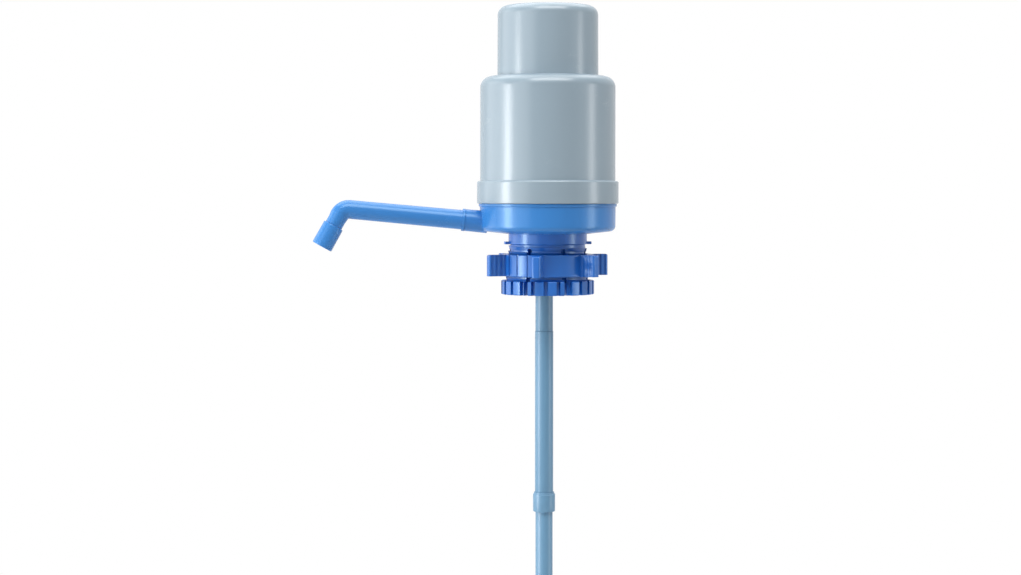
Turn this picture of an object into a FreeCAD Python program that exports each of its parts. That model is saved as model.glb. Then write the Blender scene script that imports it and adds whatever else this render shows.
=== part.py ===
"""Water jug hand pump: a push cap over a bellows, a base cup with a spout, a clamping
collet for the neck of a bottle and a dip tube.  Millimetres, +Z up.

The origin is the centre of the collet's mouth, where the neck goes in.  The spout points
along -X.  The pump axis is Z; the riser and the dip tube stand a little to the spout's side.
"""
import FreeCAD, Part
import math
import os
import Sketcher

# ---------------------------------------------------------------- driving dimensions
# alias, value in millimetres or degrees (or a count), what it is
SIZES = (
    # the bottle and the collet
    ("neck_radius", 27.5, "outside radius of the bottle neck"),
    ("neck_clearance", 0.5, "room between neck and collet bore"),
    ("neck_depth", 41.0, "how far the neck goes in before the gasket stops it"),
    ("gasket_thickness", 3.0, "flat rubber ring on the neck's rim"),
    ("gasket_width", 7.5, "width of that ring"),
    ("flange_reach", 5.2, "how far the lugged flange stands out of the cone"),
    ("flange_height", 12.0, "height of the lugged flange"),
    ("lug_depth", 4.5, "depth of the gaps between lugs"),
    ("lug_count", 23, "lugs round the flange"),
    ("lug_gap_angle", 5.0, "width of one gap between lugs"),
    ("lug_start_angle", -99.4, "angle of the first gap"),
    ("finger_wall", 7.0, "wall of the collet at the flange"),
    ("cone_taper", 2.7, "how much narrower the cone is at the band"),
    ("cone_over_neck", 2.0, "how far the cone goes on above the neck's rim"),
    ("band_reach", 1.6, "how far the band stands out of the cone"),
    ("band_height", 9.0, "height of the band"),
    ("band_edge", 0.9, "chamfer on the band's lower edge"),
    ("slot_count", 7, "slots that split the collet into fingers"),
    ("slot_width", 4.0, "width of one slot"),
    ("slot_below_band", 3.0, "distance from a slot's end up to the band"),
    ("slot_start_angle", -124.8, "angle of the first slot"),
    ("mouth_edge", 1.2, "lead-in chamfer at the collet's mouth"),
    ("ear_reach", 3.8, "how far an ear stands out of the band"),
    ("ear_width", 9.0, "width of an ear"),
    ("ear_height", 2.4, "height of an ear"),
    # the clamp nut
    ("nut_over_flange", 3.7, "room between the flange and the clamp nut"),
    ("nut_height", 18.9, "height of the clamp nut"),
    ("nut_wall", 4.6, "how far the nut's ring stands out of the cone's foot"),
    ("nut_thread_clearance", 0.3, "between the collet cone and the nut's bore"),
    ("nut_edge", 0.9, "chamfer on the nut's rims"),
    ("fin_count", 6, "finger grips on the nut"),
    ("fin_width", 7.5, "thickness of a fin"),
    ("fin_edge", 2.4, "rounding at a fin's outer corners"),
    ("fin_tip", 0.2, "from the last groove on a fin to that rounding"),
    ("fin_start_angle", -107.5, "angle of the first fin"),
    ("fin_rib_pitch", 4.2, "spacing of the grip ribs on a fin"),
    ("fin_rib_gap", 2.2, "width of the groove between two ribs"),
    ("fin_rib_depth", 0.7, "depth of the groove between two ribs"),
    ("fin_rib_inset", 1.8, "from the ring to the first groove on a fin"),
    ("panel_groove_angle", 15.2, "angle between the grooves of a grooved panel"),
    ("panel_groove_width", 2.0, "width of one groove"),
    ("panel_groove_depth", 0.9, "depth of one groove"),
    # the base cup
    ("cup_reach", 0.4, "how far the cup's wall stands out under the housing's"),
    ("cup_wall", 2.5, "wall of the cup"),
    ("cup_floor", 3.0, "thickness of the cup's floor"),
    ("underside_reach", 1.4, "how far the flat underside goes past the collet's band"),
    ("underside_rise", 2.6, "how much the underside rises to the corner"),
    ("cup_corner", 5.0, "rounding at the cup's bottom corner"),
    ("lip_reach", 1.0, "how far the lip stands out of the cup"),
    ("lip_height", 2.5, "height of the lip"),
    ("cup_height", 26.0, "height of the cup, from its floor to the lip that the housing sits on"),
    ("shelf_width", 7.4, "width of the shelf that carries the deck"),
    ("shelf_height", 3.0, "thickness of the shelf"),
    ("spigot_wall", 2.3, "wall of the ring that stands up inside the housing"),
    ("spigot_height", 13.0, "height of that ring"),
    ("snap_height", 8.0, "height of the snap ridge above the lip"),
    ("snap_reach", 0.9, "how far the snap ridge stands out"),
    # the outer housing
    ("housing_radius", 58.2, "outside radius of the housing"),
    ("housing_wall", 2.2, "wall of the housing"),
    ("housing_height", 109.3, "height of the housing"),
    ("housing_shoulder", 9.5, "rounding at the housing's top edge"),
    ("housing_roof", 2.6, "thickness of the housing's roof"),
    ("bead_reach", 2.9, "how far the bead at the housing's foot stands out"),
    ("bead_height", 19.5, "height of that bead"),
    ("bead_edge", 1.0, "chamfer on the bead's edges"),
    ("collar_length", 6.0, "length of the collar that guides the cap"),
    ("collar_wall", 2.2, "wall of that collar"),
    # the push cap
    ("ledge_width", 4.9, "flat ring between the cap's collar and the housing's shoulder"),
    ("cap_clearance", 0.3, "room between cap and collar"),
    ("cap_rise", 61.4, "height of the cap's crown over the housing"),
    ("cap_edge", 8.0, "rounding at the cap's top edge"),
    ("cap_wall", 2.2, "wall of the cap"),
    ("cap_dome", 1.2, "how much the crown is domed"),
    ("cap_stop_reach", 3.4, "how far the stop flange stands out"),
    ("cap_stop_height", 2.6, "thickness of the stop flange"),
    ("cap_boss_radius", 4.4, "outside radius of a screw boss in the cap"),
    ("cap_boss_inset", 9.0, "distance of a boss from the bellows plate's rim"),
    ("cap_boss_count", 3, "screw bosses in the cap"),
    # plates, bellows, spring and valves
    ("part_clearance", 0.3, "room between parts that are not meant to touch"),
    ("overlap", 1.0, "how far a cut or a joint goes past the face that it starts from"),
    ("deck_thickness", 3.5, "valve deck"),
    ("seal_thickness", 1.0, "flat seal under the deck"),
    ("clamp_ring_thickness", 3.0, "ring that holds the bellows down"),
    ("clamp_ring_width", 5.3, "width of that ring"),
    ("plate_inset", 3.5, "how much smaller the bellows plate is than the cap"),
    ("plate_thickness", 3.0, "bellows plate"),
    ("plate_drop", 5.0, "distance of the plate's top face below the collar"),
    ("fold_reach", 6.6, "how far a fold stands out of the plate"),
    ("fold_depth", 8.6, "depth of a fold"),
    ("bellows_wall", 2.2, "wall of the bellows, measured along the radius"),
    ("bellows_flange", 2.0, "thickness of the flange at its foot"),
    ("bellows_cuff", 2.6, "wall of the cuff round the plate"),
    ("bellows_fold_count", 6, "folds"),
    ("spring_radius", 24.0, "mean radius of the coil"),
    ("spring_wire", 1.2, "radius of the wire"),
    ("spring_coil_count", 6.0, "turns"),
    ("guide_wall", 1.6, "wall of the rings that keep the spring in place"),
    ("guide_height", 3.2, "height of those rings"),
    ("valve_radius", 9.0, "rubber valve disc"),
    ("valve_thickness", 1.5, "rubber valve disc"),
    ("valve_stem", 1.6, "radius of the valve's stem"),
    ("valve_head", 2.8, "radius of the button that keeps the stem in"),
    ("valve_head_height", 1.6, "height of that button"),
    ("valve_lift", 1.2, "travel of a valve"),
    ("valve_gap", 0.05, "room under a closed valve"),
    ("port_radius", 1.5, "one of the air holes under a valve"),
    ("port_place", 5.6, "distance of those holes from the axis"),
    ("port_count", 6, "air holes under a valve"),
    # screws
    ("screw_radius", 1.6, "shank of every screw"),
    ("screw_head", 2.6, "radius of a screw's head"),
    ("screw_head_height", 2.2, "height of a screw's head"),
    ("screw_hole_room", 0.2, "room round a screw's shank"),
    ("deck_screw_count", 4, "screws through the clamp ring"),
    ("deck_screw_length", 16.0, "length of those shanks"),
    ("post_radius", 3.4, "posts in the cup that take them"),
    ("plate_screw_length", 12.0, "shanks of the screws in the cap's bosses"),
    ("collet_screw_inset", 4.2, "distance of the collet's screws from the gasket's bore"),
    ("collet_screw_count", 4, "screws that hold the collet to the cup"),
    ("collet_screw_length", 14.0, "length of those shanks"),
    ("collet_post_height", 5.5, "posts on the cup's floor that take them"),
    ("vent_radius", 2.3, "air hole from the cup to the bottle"),
    ("vent_count", 4, "those air holes"),
    # the water way
    ("riser_offset", 3.0, "distance of riser and dip tube from the pump axis"),
    ("riser_radius", 7.6, "outside radius of the riser"),
    ("riser_bore", 4.9, "bore of the riser"),
    ("riser_flange", 11.0, "radius of the riser's flange"),
    ("riser_flange_height", 2.0, "thickness of that flange"),
    ("riser_fit", 0.15, "room round the riser where it passes a wall"),
    ("riser_low", -32.0, "height where the riser meets the dip tube"),
    ("riser_spigot", 14.0, "length of the riser's end inside the dip tube"),
    ("tube_fit", 0.05, "room between a tube and what it pushes into"),
    ("riser_ring", 0.8, "section radius of the riser's sealing ring"),
    ("chamber_radius", 6.0, "chamber above the riser"),
    ("chamber_height", 13.0, "height of that chamber's roof above the cup's underside"),
    ("chamber_wall", 2.8, "wall of that chamber"),
    ("upper_tube_radius", 7.9, "upper dip tube"),
    ("lower_tube_radius", 7.45, "lower dip tube"),
    ("tube_wall", 1.5, "wall of both dip tubes"),
    ("coupler_top", -172.0, "height of the coupler's top"),
    ("coupler_length", 17.0, "length of the coupler"),
    ("coupler_wall", 1.7, "wall of the coupler round the upper tube"),
    ("coupler_stop", 2.0, "thickness of the stop inside the coupler"),
    ("coupler_edge", 0.8, "chamfer on the coupler's rims"),
    ("tube_foot", -445.0, "height of the dip tube's foot"),
    ("foot_notch_width", 4.0, "width of a notch in the foot"),
    ("foot_notch_height", 6.0, "height of a notch in the foot"),
    # the spout
    ("spout_rise_angle", 5.3, "how much the spout climbs, in degrees"),
    ("elbow_angle", 66.0, "how much the elbow turns down, in degrees"),
    ("sleeve_length", 15.7, "how far the sleeve stands out of the cup's wall"),
    ("port_rise", 12.2, "height of the spout's axis at the sleeve's mouth above the cup's underside"),
    ("sleeve_wall", 1.85, "wall of the sleeve that the spout turns in"),
    ("sleeve_root", 4.0, "how far sleeve and duct run on inside the cup's wall"),
    ("sleeve_lip", 0.7, "raised rim at the sleeve's mouth"),
    ("sleeve_lip_length", 2.2, "length of that rim"),
    ("socket_depth", 14.0, "how far the spout pushes in"),
    ("socket_fit", 0.05, "room between spout and sleeve"),
    ("spigot_radius", 7.5, "end of the spout inside the sleeve"),
    ("duct_radius", 4.5, "bore of the duct inside the cup"),
    ("spout_bore", 5.2, "bore of the spout and its nozzle"),
    ("duct_wall", 2.4, "wall of the duct inside the cup"),
    ("spout_root_radius", 8.4, "spout at the sleeve"),
    ("spout_end_radius", 8.05, "spout at the elbow"),
    ("spout_length", 102.4, "from the sleeve's mouth to the elbow's corner"),
    ("elbow_radius", 9.0, "radius of the elbow's centre line"),
    ("stem_radius", 7.6, "end of the spout that takes the nozzle"),
    ("stem_step", 1.0, "length of the taper between the spout and that end"),
    ("nozzle_start", 16.2, "from the elbow's corner to the nozzle"),
    ("nozzle_length", 20.8, "length of the nozzle"),
    ("nozzle_wall", 1.55, "wall of the nozzle round the spout's end"),
    ("nozzle_grip", 9.0, "length of the spout inside the nozzle"),
    ("nozzle_edge", 0.6, "chamfer on the nozzle's rims"),
    ("ring_section", 0.55, "section radius of the spout's sealing ring"),
    ("ring_groove_depth", 1.2, "groove for that ring"),
    ("ring_groove_width", 2.0, "groove for that ring"),
    ("ring_groove_place", 7.0, "distance of the groove from the sleeve's mouth"),
)

FIN_GROOVES = 3  # grooves on each side of a fin
ROUND_SIDES = 6  # sides that stand for a round section of wire or ring, few to keep them light
SCREW_CROWN = 0.6  # flat middle of a screw's head, as a share of the head
VALVE_FLAT = 0.6   # flat underside of a rubber valve, as a share of the disc
VALVE_RIM = 0.4    # thickness of the disc at its rim, as a share of the disc

doc = FreeCAD.newDocument("HandPump")
sheet = doc.addObject("Spreadsheet::Sheet", "Sizes")
for row, (alias, number, meaning) in enumerate(SIZES, start=1):
    sheet.set("A%d" % row, str(number))
    sheet.setAlias("A%d" % row, alias)
    sheet.set("B%d" % row, meaning)
doc.recompute()


class Size:
    """A number together with the expression on the sheet's cells that it comes from."""

    def __init__(self, value, text):
        self.value, self.text = value, text

    @staticmethod
    def of(other):
        return other if isinstance(other, Size) else Size(float(other), repr(float(other)))

    def join(self, other, sign, value):
        return Size(value, "(%s %s %s)" % (self.text, sign, other.text))

    def __add__(self, other):
        other = Size.of(other)
        return self.join(other, "+", self.value + other.value)

    def __sub__(self, other):
        other = Size.of(other)
        return self.join(other, "-", self.value - other.value)

    def __mul__(self, other):
        other = Size.of(other)
        return self.join(other, "*", self.value * other.value)

    def __truediv__(self, other):
        other = Size.of(other)
        return self.join(other, "/", self.value / other.value)

    def __radd__(self, other):
        return Size.of(other) + self

    def __rsub__(self, other):
        return Size.of(other) - self

    def __rmul__(self, other):
        return Size.of(other) * self

    def __rtruediv__(self, other):
        return Size.of(other) / self

    def __neg__(self):
        return Size.of(0) - self

    def trig(self, name):
        """Sine, cosine or tangent of an angle in degrees."""
        return Size(getattr(math, name)(math.radians(self.value)), "%s(%s * 1 deg)" % (name, self.text))


class Sheet:
    """Reads the sheet's cells by their alias: cap_radius."""

    def __getattr__(self, alias):
        return Size(float(sheet.get(alias)), "Sizes." + alias)


s = Sheet()


# ---------------------------------------------------------------- sketching helpers
class Piece:
    """One sub-part: a PartDesign body whose sketches and features are bound to the sheet."""

    def __init__(self, label):
        self.label = label
        self.body = doc.addObject("PartDesign::Body", "Body_" + label)
        self.body.Label = label
        self.step = 0

    def origin(self, role):
        return [item for item in self.body.Origin.OriginFeatures if item.Role == role][0]

    def name(self, kind):
        self.step += 1
        return "%s_%s_%d" % (self.label, kind, self.step)

    def sketch(self, role="XZ_Plane", base=(0, 0, 0), turn=None):
        """A sketch on an origin plane; base shifts it and turn (degrees) turns it in its plane."""
        sketch = self.body.newObject("Sketcher::SketchObject", self.name("Sketch"))
        sketch.AttachmentSupport = [(self.origin(role), "")]
        sketch.MapMode = "FlatFace"
        for axis, amount in zip("xyz", base):
            sketch.setExpression("AttachmentOffset.Base." + axis, Size.of(amount).text)
        if turn is not None:
            sketch.setExpression("AttachmentOffset.Rotation.Angle", "%s * 1 deg" % Size.of(turn).text)
        return sketch

    def upright(self, turn):
        """A sketch that stands on the pump axis and faces outwards at an angle: x runs round, y up."""
        sketch = self.sketch("YZ_Plane")
        facing = FreeCAD.Rotation(FreeCAD.Vector(0, 1, 0), Size.of(turn).value)
        sketch.AttachmentOffset = FreeCAD.Placement(FreeCAD.Vector(), facing)
        sketch.setExpression("AttachmentOffset.Rotation.Angle", "%s * 1 deg" % Size.of(turn).text)
        return sketch

    def feature(self, kind, sketch):
        feature = self.body.newObject("PartDesign::" + kind, self.name(kind))
        feature.Profile = sketch
        return feature

    def revolve(self, points, kind="Revolution", sketch=None, axis="V_Axis"):
        """Turns a closed outline round the sketch's own axis; kind Groove cuts it away."""
        sketch = sketch or self.sketch()
        polygon(sketch, points)
        feature = self.feature(kind, sketch)
        feature.ReferenceAxis = (sketch, [axis])
        feature.Angle = 360
        return feature

    def pad(self, sketch, length, down=False):
        feature = self.feature("Pad", sketch)
        feature.setExpression("Length", Size.of(length).text)
        feature.Reversed = down
        return feature

    def pocket(self, sketch, length, up=False):
        """Cuts downwards from the sketch, or upwards where up is true."""
        feature = self.feature("Pocket", sketch)
        feature.setExpression("Length", Size.of(length).text)
        feature.Reversed = up
        return feature

    def around(self, features, count, angle=360):
        """Repeats features round the pump axis."""
        if not isinstance(features, list):
            features = [features]
        pattern = self.body.newObject("PartDesign::PolarPattern", self.name("Around"))
        pattern.Originals = features
        pattern.Axis = (self.origin("Z_Axis"), [""])
        pattern.Angle = angle
        pattern.setExpression("Occurrences", Size.of(count).text)
        self.body.Tip = pattern
        return pattern

    def chamfer_rims(self, size, rims):
        """Chamfers the circular edges round Z at the given (radius, height) places."""
        doc.recompute()
        places = [(Size.of(r).value, Size.of(z).value) for r, z in rims]
        names = []
        for number, edge in enumerate(self.body.Shape.Edges, start=1):
            curve = edge.Curve
            if not isinstance(curve, Part.Circle) or math.hypot(curve.Center.x, curve.Center.y) > 1e-6:
                continue
            if any(abs(curve.Radius - r) < 1e-4 and abs(curve.Center.z - z) < 1e-4 for r, z in places):
                names.append("Edge%d" % number)
        if not names:
            raise RuntimeError("no rim found on " + self.label)
        solid = self.body.Tip
        feature = self.body.newObject("PartDesign::Chamfer", self.name("Chamfer"))
        feature.Base = (solid, names)
        feature.setExpression("Size", Size.of(size).text)
        return feature


def point_constraints(sketch, part, corner, x, y):
    """Fixes one end of a line, or a circle's centre, at a place given by two sizes."""
    for kind, size in (("DistanceX", x), ("DistanceY", y)):
        number = sketch.addConstraint(Sketcher.Constraint(kind, -1, 1, part, corner, size.value))
        sketch.setExpression("Constraints[%d]" % number, size.text)


def arc_of(start, end, radius):
    """Arc from start to end, left-handed for a positive radius; and its two ends in its own order."""
    half = (end - start) * 0.5
    size = abs(radius)
    side = FreeCAD.Vector(-half.y, half.x, 0).normalize() * math.sqrt(max(size ** 2 - half.Length ** 2, 0))
    centre = start + half + side * (1 if radius > 0 else -1)
    first, last = (start, end) if radius > 0 else (end, start)
    angles = [math.atan2((place - centre).y, (place - centre).x) for place in (first, last)]
    if angles[1] < angles[0]:
        angles[1] += 2 * math.pi
    whole = Part.Circle(centre, FreeCAD.Vector(0, 0, 1), size)
    return Part.ArcOfCircle(whole, *angles), (1, 2) if radius > 0 else (2, 1)


def polygon(sketch, points, closed=True):
    """An outline through (x, y) places; (x, y, r) leaves the place on an arc of radius r."""
    places = [(Size.of(point[0]), Size.of(point[1])) for point in points]
    first = sketch.GeometryCount
    count = len(points) if closed else len(points) - 1
    ends = []
    for i in range(count):
        here, there = places[i], places[(i + 1) % len(points)]
        start = FreeCAD.Vector(here[0].value, here[1].value, 0)
        end = FreeCAD.Vector(there[0].value, there[1].value, 0)
        arc = points[i][2:]
        if arc:
            radius = arc[0]
            curve, order = arc_of(start, end, radius.value)
            number = sketch.addGeometry(curve, False)
            radius = radius if radius.value > 0 else -radius
            constraint = sketch.addConstraint(Sketcher.Constraint("Radius", number, radius.value))
            sketch.setExpression("Constraints[%d]" % constraint, radius.text)
        else:
            sketch.addGeometry(Part.LineSegment(start, end), False)
            order = (1, 2)
        ends.append(order)
    for i in range(count if closed else count - 1):
        follower = (i + 1) % len(points)
        sketch.addConstraint(Sketcher.Constraint(
            "Coincident", first + i, ends[i][1], first + follower, ends[follower][0]))
    for i in range(count):
        point_constraints(sketch, first + i, ends[i][0], *places[i])
    if not closed:
        point_constraints(sketch, first + count - 1, ends[-1][1], *places[-1])
    return sketch


def circle(sketch, x, y, radius):
    """A circle whose centre and radius are bound to the sheet."""
    x, y, radius = Size.of(x), Size.of(y), Size.of(radius)
    curve = Part.Circle(FreeCAD.Vector(x.value, y.value, 0), FreeCAD.Vector(0, 0, 1), radius.value)
    number = sketch.addGeometry(curve, False)
    point_constraints(sketch, number, 3, x, y)
    constraint = sketch.addConstraint(Sketcher.Constraint("Radius", number, radius.value))
    sketch.setExpression("Constraints[%d]" % constraint, radius.text)
    return sketch


def round_section(sketch, x, y, radius):
    """A section with a few sides in place of a circle."""
    corners = [2 * math.pi * side / ROUND_SIDES for side in range(ROUND_SIDES)]
    return polygon(sketch, [(x + radius * math.cos(corner), y + radius * math.sin(corner))
                            for corner in corners])


def rectangle(sketch, x_low, x_high, y_low, y_high):
    return polygon(sketch, [(x_low, y_low), (x_high, y_low), (x_high, y_high), (x_low, y_high)])


def tube(label, x, bore, radius, low, high):
    """A straight round tube that stands along Z at x."""
    piece = Piece(label)
    outline = [(bore, low), (radius, low), (radius, high), (bore, high)]
    piece.revolve(outline, sketch=piece.sketch(base=(x, 0, 0)))
    return piece


def screws(label, place, head_low, head_up, length, count, turn=0):
    """Round-headed screws in a ring; the shank runs up from the head, or down where head_up."""
    piece = Piece(label)
    sign = 1 if head_up else -1
    shank_end = head_low - sign * length
    head_top = head_low + sign * s.screw_head_height
    outline = [(0, shank_end), (s.screw_radius, shank_end), (s.screw_radius, head_low),
               (s.screw_head, head_low), (s.screw_head, head_low + sign * s.screw_head_height / 2),
               (s.screw_head * SCREW_CROWN, head_top), (0, head_top)]
    sketch = piece.sketch(base=(place, 0, 0))
    screw = piece.revolve(outline, sketch=sketch)
    piece.around(screw, count)
    piece.body.setExpression("Placement.Rotation.Angle", "%s * 1 deg" % Size.of(turn).text)
    return piece


# ---------------------------------------------------------------- places worked out from the sizes
# the collet and the nut, from the neck
collet_bore = s.neck_radius + s.neck_clearance
gasket_outside = collet_bore - s.part_clearance
gasket_bore = gasket_outside - s.gasket_width
gasket_top = s.neck_depth + s.gasket_thickness
cone_low = collet_bore + s.finger_wall
cone_high = cone_low - s.cone_taper
cone_end = s.neck_depth + s.cone_over_neck
cone_slope = (cone_high - cone_low) / (cone_end - s.flange_height)
slot_end = cone_end - s.slot_below_band
band_radius = cone_high + s.band_reach
band_top = cone_end + s.band_height
flange_radius = cone_low + s.flange_reach
lug_root = flange_radius - s.lug_depth
nut_low = s.flange_height + s.nut_over_flange
nut_top = nut_low + s.nut_height
nut_radius = cone_low + s.nut_wall
fin_ribs = s.fin_rib_inset + s.fin_rib_pitch * (FIN_GROOVES - 1) + s.fin_rib_gap
fin_reach = nut_radius + fin_ribs + s.fin_tip + s.fin_edge
collet_screw_place = gasket_bore - s.collet_screw_inset
# the cup, from the housing's radius and the collet's top
floor_top = band_top + s.cup_floor
cup_top = band_top + s.cup_height
cup_radius = s.housing_radius + s.cup_reach
cup_inside = cup_radius - s.cup_wall
lip_radius = cup_radius + s.lip_reach
underside_radius = band_radius + s.underside_reach
shelf_low = cup_top - s.shelf_height
housing_inside = s.housing_radius - s.housing_wall
spigot_outside = housing_inside - s.part_clearance
spigot_inside = spigot_outside - s.spigot_wall
# the housing and the cap
bead_radius = s.housing_radius + s.bead_reach
housing_top = cup_top + s.housing_height
collar_low = housing_top - s.collar_length
collar_inside = s.housing_radius - s.housing_shoulder - s.ledge_width
cap_radius = collar_inside - s.cap_clearance
cap_low = collar_low - s.part_clearance - s.cap_stop_height
cap_top = housing_top + s.cap_rise
# the deck, the plate and the bellows between them
deck_radius = spigot_inside - s.part_clearance
deck_low = cup_top + s.seal_thickness
deck_top = deck_low + s.deck_thickness
ring_low = deck_top + s.bellows_flange
ring_top = ring_low + s.clamp_ring_thickness
ring_inside = deck_radius - s.clamp_ring_width
screw_place = deck_radius - s.clamp_ring_width / 2
plate_radius = cap_radius - s.plate_inset
plate_top = collar_low - s.plate_drop
plate_low = plate_top - s.plate_thickness
boss_place = plate_radius - s.cap_boss_inset
fold_crest = plate_radius + s.fold_reach
fold_valley = fold_crest - s.fold_depth
guide_radius = s.spring_radius - s.spring_wire - s.part_clearance
guide_inside = guide_radius - s.guide_wall
screw_hole = s.screw_radius + s.screw_hole_room
# the water way
riser_x = -s.riser_offset
riser_ring_place = (s.riser_radius + s.riser_flange) / 2
chamber_top = band_top + s.chamber_height
tube_bore = s.upper_tube_radius - s.tube_wall
coupler_radius = s.upper_tube_radius + s.coupler_wall
port_reach = cup_radius + s.sleeve_length
port_height = band_top + s.port_rise
sleeve_radius = s.spigot_radius + s.sleeve_wall
duct_length = (port_reach - s.riser_offset) / s.spout_rise_angle.trig("cos")
nozzle_radius = s.stem_radius + s.nozzle_wall


def screw_holes(piece, place, top, thickness, count):
    """Holes for a ring of screws, cut down from top."""
    hole = circle(piece.sketch("XY_Plane", base=(0, 0, top)), place, 0, screw_hole)
    piece.around(piece.pocket(hole, thickness), count)


def cone_radius(height):
    """Radius of the collet's cone at a height."""
    return cone_low + cone_slope * (height - s.flange_height)


# ---------------------------------------------------------------- collet, nut and neck gasket
def roof_holes(piece, top, depth):
    """Air holes and screw holes through the wall between the cup and the collet."""
    vent = circle(piece.sketch("XY_Plane", base=(0, 0, top)), collet_screw_place, 0, s.vent_radius)
    piece.around(piece.pocket(vent, depth), s.vent_count)
    middle = piece.sketch("XY_Plane", base=(0, 0, top), turn=180 / s.collet_screw_count)
    hole = circle(middle, collet_screw_place, 0, screw_hole)
    piece.around(piece.pocket(hole, depth), s.collet_screw_count)


def neck_collet():
    """Slotted conical fingers over a lugged flange, with a band and a roof above them."""
    piece = Piece("neck_collet")
    piece.revolve([
        (collet_bore + s.mouth_edge, 0), (flange_radius, 0), (flange_radius, s.flange_height),
        (cone_low, s.flange_height), (cone_high, cone_end),
        (band_radius - s.band_edge, cone_end), (band_radius, cone_end + s.band_edge),
        (band_radius, band_top), (0, band_top), (0, gasket_top),
        (collet_bore, gasket_top), (collet_bore, s.mouth_edge)])
    ear = piece.sketch("XY_Plane", base=(0, 0, cone_end))
    rectangle(ear, band_radius - s.overlap, band_radius + s.ear_reach, -s.ear_width / 2, s.ear_width / 2)
    piece.around(piece.pad(ear, s.ear_height), 2)
    half_gap = (s.lug_gap_angle / 2).trig("tan")
    reach = flange_radius + s.overlap
    gap = piece.sketch("XY_Plane", turn=s.lug_start_angle)
    polygon(gap, [(lug_root, -lug_root * half_gap), (reach, -reach * half_gap),
                  (reach, reach * half_gap), (lug_root, lug_root * half_gap)])
    piece.around(piece.pocket(gap, s.flange_height, up=True), s.lug_count)
    straight = rectangle(piece.upright(s.slot_start_angle), -s.slot_width / 2, s.slot_width / 2,
                         -s.overlap, slot_end - s.slot_width / 2)
    slot = piece.pocket(straight, reach, up=True)
    round_end = circle(piece.upright(s.slot_start_angle), 0, slot_end - s.slot_width / 2, s.slot_width / 2)
    crown = piece.pocket(round_end, reach, up=True)
    piece.around([slot, crown], s.slot_count)
    # the riser's passage and the seat of its flange in the roof
    roof = band_top - gasket_top
    passage = piece.sketch("XY_Plane", base=(0, 0, band_top))
    piece.pocket(circle(passage, riser_x, 0, s.riser_radius + s.riser_fit), roof)
    seat = piece.sketch("XY_Plane", base=(0, 0, band_top))
    piece.pocket(circle(seat, riser_x, 0, s.riser_flange + s.riser_fit), s.riser_flange_height)
    roof_holes(piece, band_top, roof)
    return piece


def clamp_nut():
    """Ring with a conical bore, ribbed finger grips and grooves on every second panel."""
    piece = Piece("clamp_nut")
    low_bore = cone_radius(nut_low) + s.nut_thread_clearance
    top_bore = cone_radius(nut_top) + s.nut_thread_clearance
    piece.revolve([(low_bore, nut_low), (nut_radius, nut_low), (nut_radius, nut_top), (top_bore, nut_top)])
    piece.chamfer_rims(s.nut_edge, [(nut_radius, nut_low), (nut_radius, nut_top)])
    # grooves in the middle of the panel before a fin
    panel = s.fin_start_angle - 180 / s.fin_count
    grooves = []
    for step in (-1, 0, 1):
        groove = piece.sketch("XY_Plane", base=(0, 0, nut_top), turn=panel + step * s.panel_groove_angle)
        rectangle(groove, nut_radius - s.panel_groove_depth, nut_radius + s.overlap,
                  -s.panel_groove_width / 2, s.panel_groove_width / 2)
        grooves.append(piece.pocket(groove, s.nut_height))
    piece.around(grooves, s.fin_count / 2)
    # one fin: grooves between its grip ribs, rounded outer corners
    half, edge = s.fin_width / 2, s.fin_edge
    groove_floor = half - s.fin_rib_depth
    side = [(nut_radius - s.overlap, half)]
    for number in range(FIN_GROOVES):
        start = nut_radius + s.fin_rib_inset + s.fin_rib_pitch * number
        end = start + s.fin_rib_gap
        side += [(start, half), (start, groove_floor), (end, groove_floor), (end, half)]
    mirrored = [(x, -y) for x, y in reversed(side)]
    tip = [(fin_reach - edge, half, -edge), (fin_reach, half - edge),
           (fin_reach, edge - half, -edge), (fin_reach - edge, -half)]
    fin = piece.sketch("XY_Plane", base=(0, 0, nut_low), turn=s.fin_start_angle)
    pad = piece.pad(polygon(fin, side + tip + mirrored), s.nut_height)
    # the fin's top is rounded down to its outer edge
    crown = piece.sketch("XZ_Plane")
    facing = FreeCAD.Rotation(FreeCAD.Vector(0, 1, 0), s.fin_start_angle.value)
    crown.AttachmentOffset = FreeCAD.Placement(FreeCAD.Vector(), facing)
    crown.setExpression("AttachmentOffset.Rotation.Angle", "%s * 1 deg" % s.fin_start_angle.text)
    over, beyond = nut_top + s.overlap, fin_reach + s.overlap
    polygon(crown, [(fin_reach - edge, over), (beyond, over), (beyond, nut_top - edge),
                    (fin_reach, nut_top - edge, edge), (fin_reach - edge, nut_top)])
    corner = piece.pocket(crown, s.fin_width + s.overlap * 2)
    corner.Midplane = True
    piece.around([pad, corner], s.fin_count)
    return piece


def neck_gasket():
    """Flat rubber ring that the rim of the neck seals on."""
    piece = Piece("neck_gasket")
    piece.revolve([(gasket_bore, s.neck_depth), (gasket_outside, s.neck_depth),
                   (gasket_outside, gasket_top), (gasket_bore, gasket_top)])
    return piece


def collet_screws():
    """Screws up through the collet's roof into the posts on the cup's floor."""
    return screws("collet_screws", collet_screw_place, gasket_top, False, s.collet_screw_length,
                  s.collet_screw_count, 180 / s.collet_screw_count)


# ---------------------------------------------------------------- base cup
def spout_axis_sketch(piece, along=0):
    """A sketch whose x axis runs out along the spout's axis from the sleeve's mouth."""
    base = (-port_reach - along * s.spout_rise_angle.trig("cos"),
            port_height + along * s.spout_rise_angle.trig("sin"), 0)
    return piece.sketch("XZ_Plane", base=base, turn=180 - s.spout_rise_angle)


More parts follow.
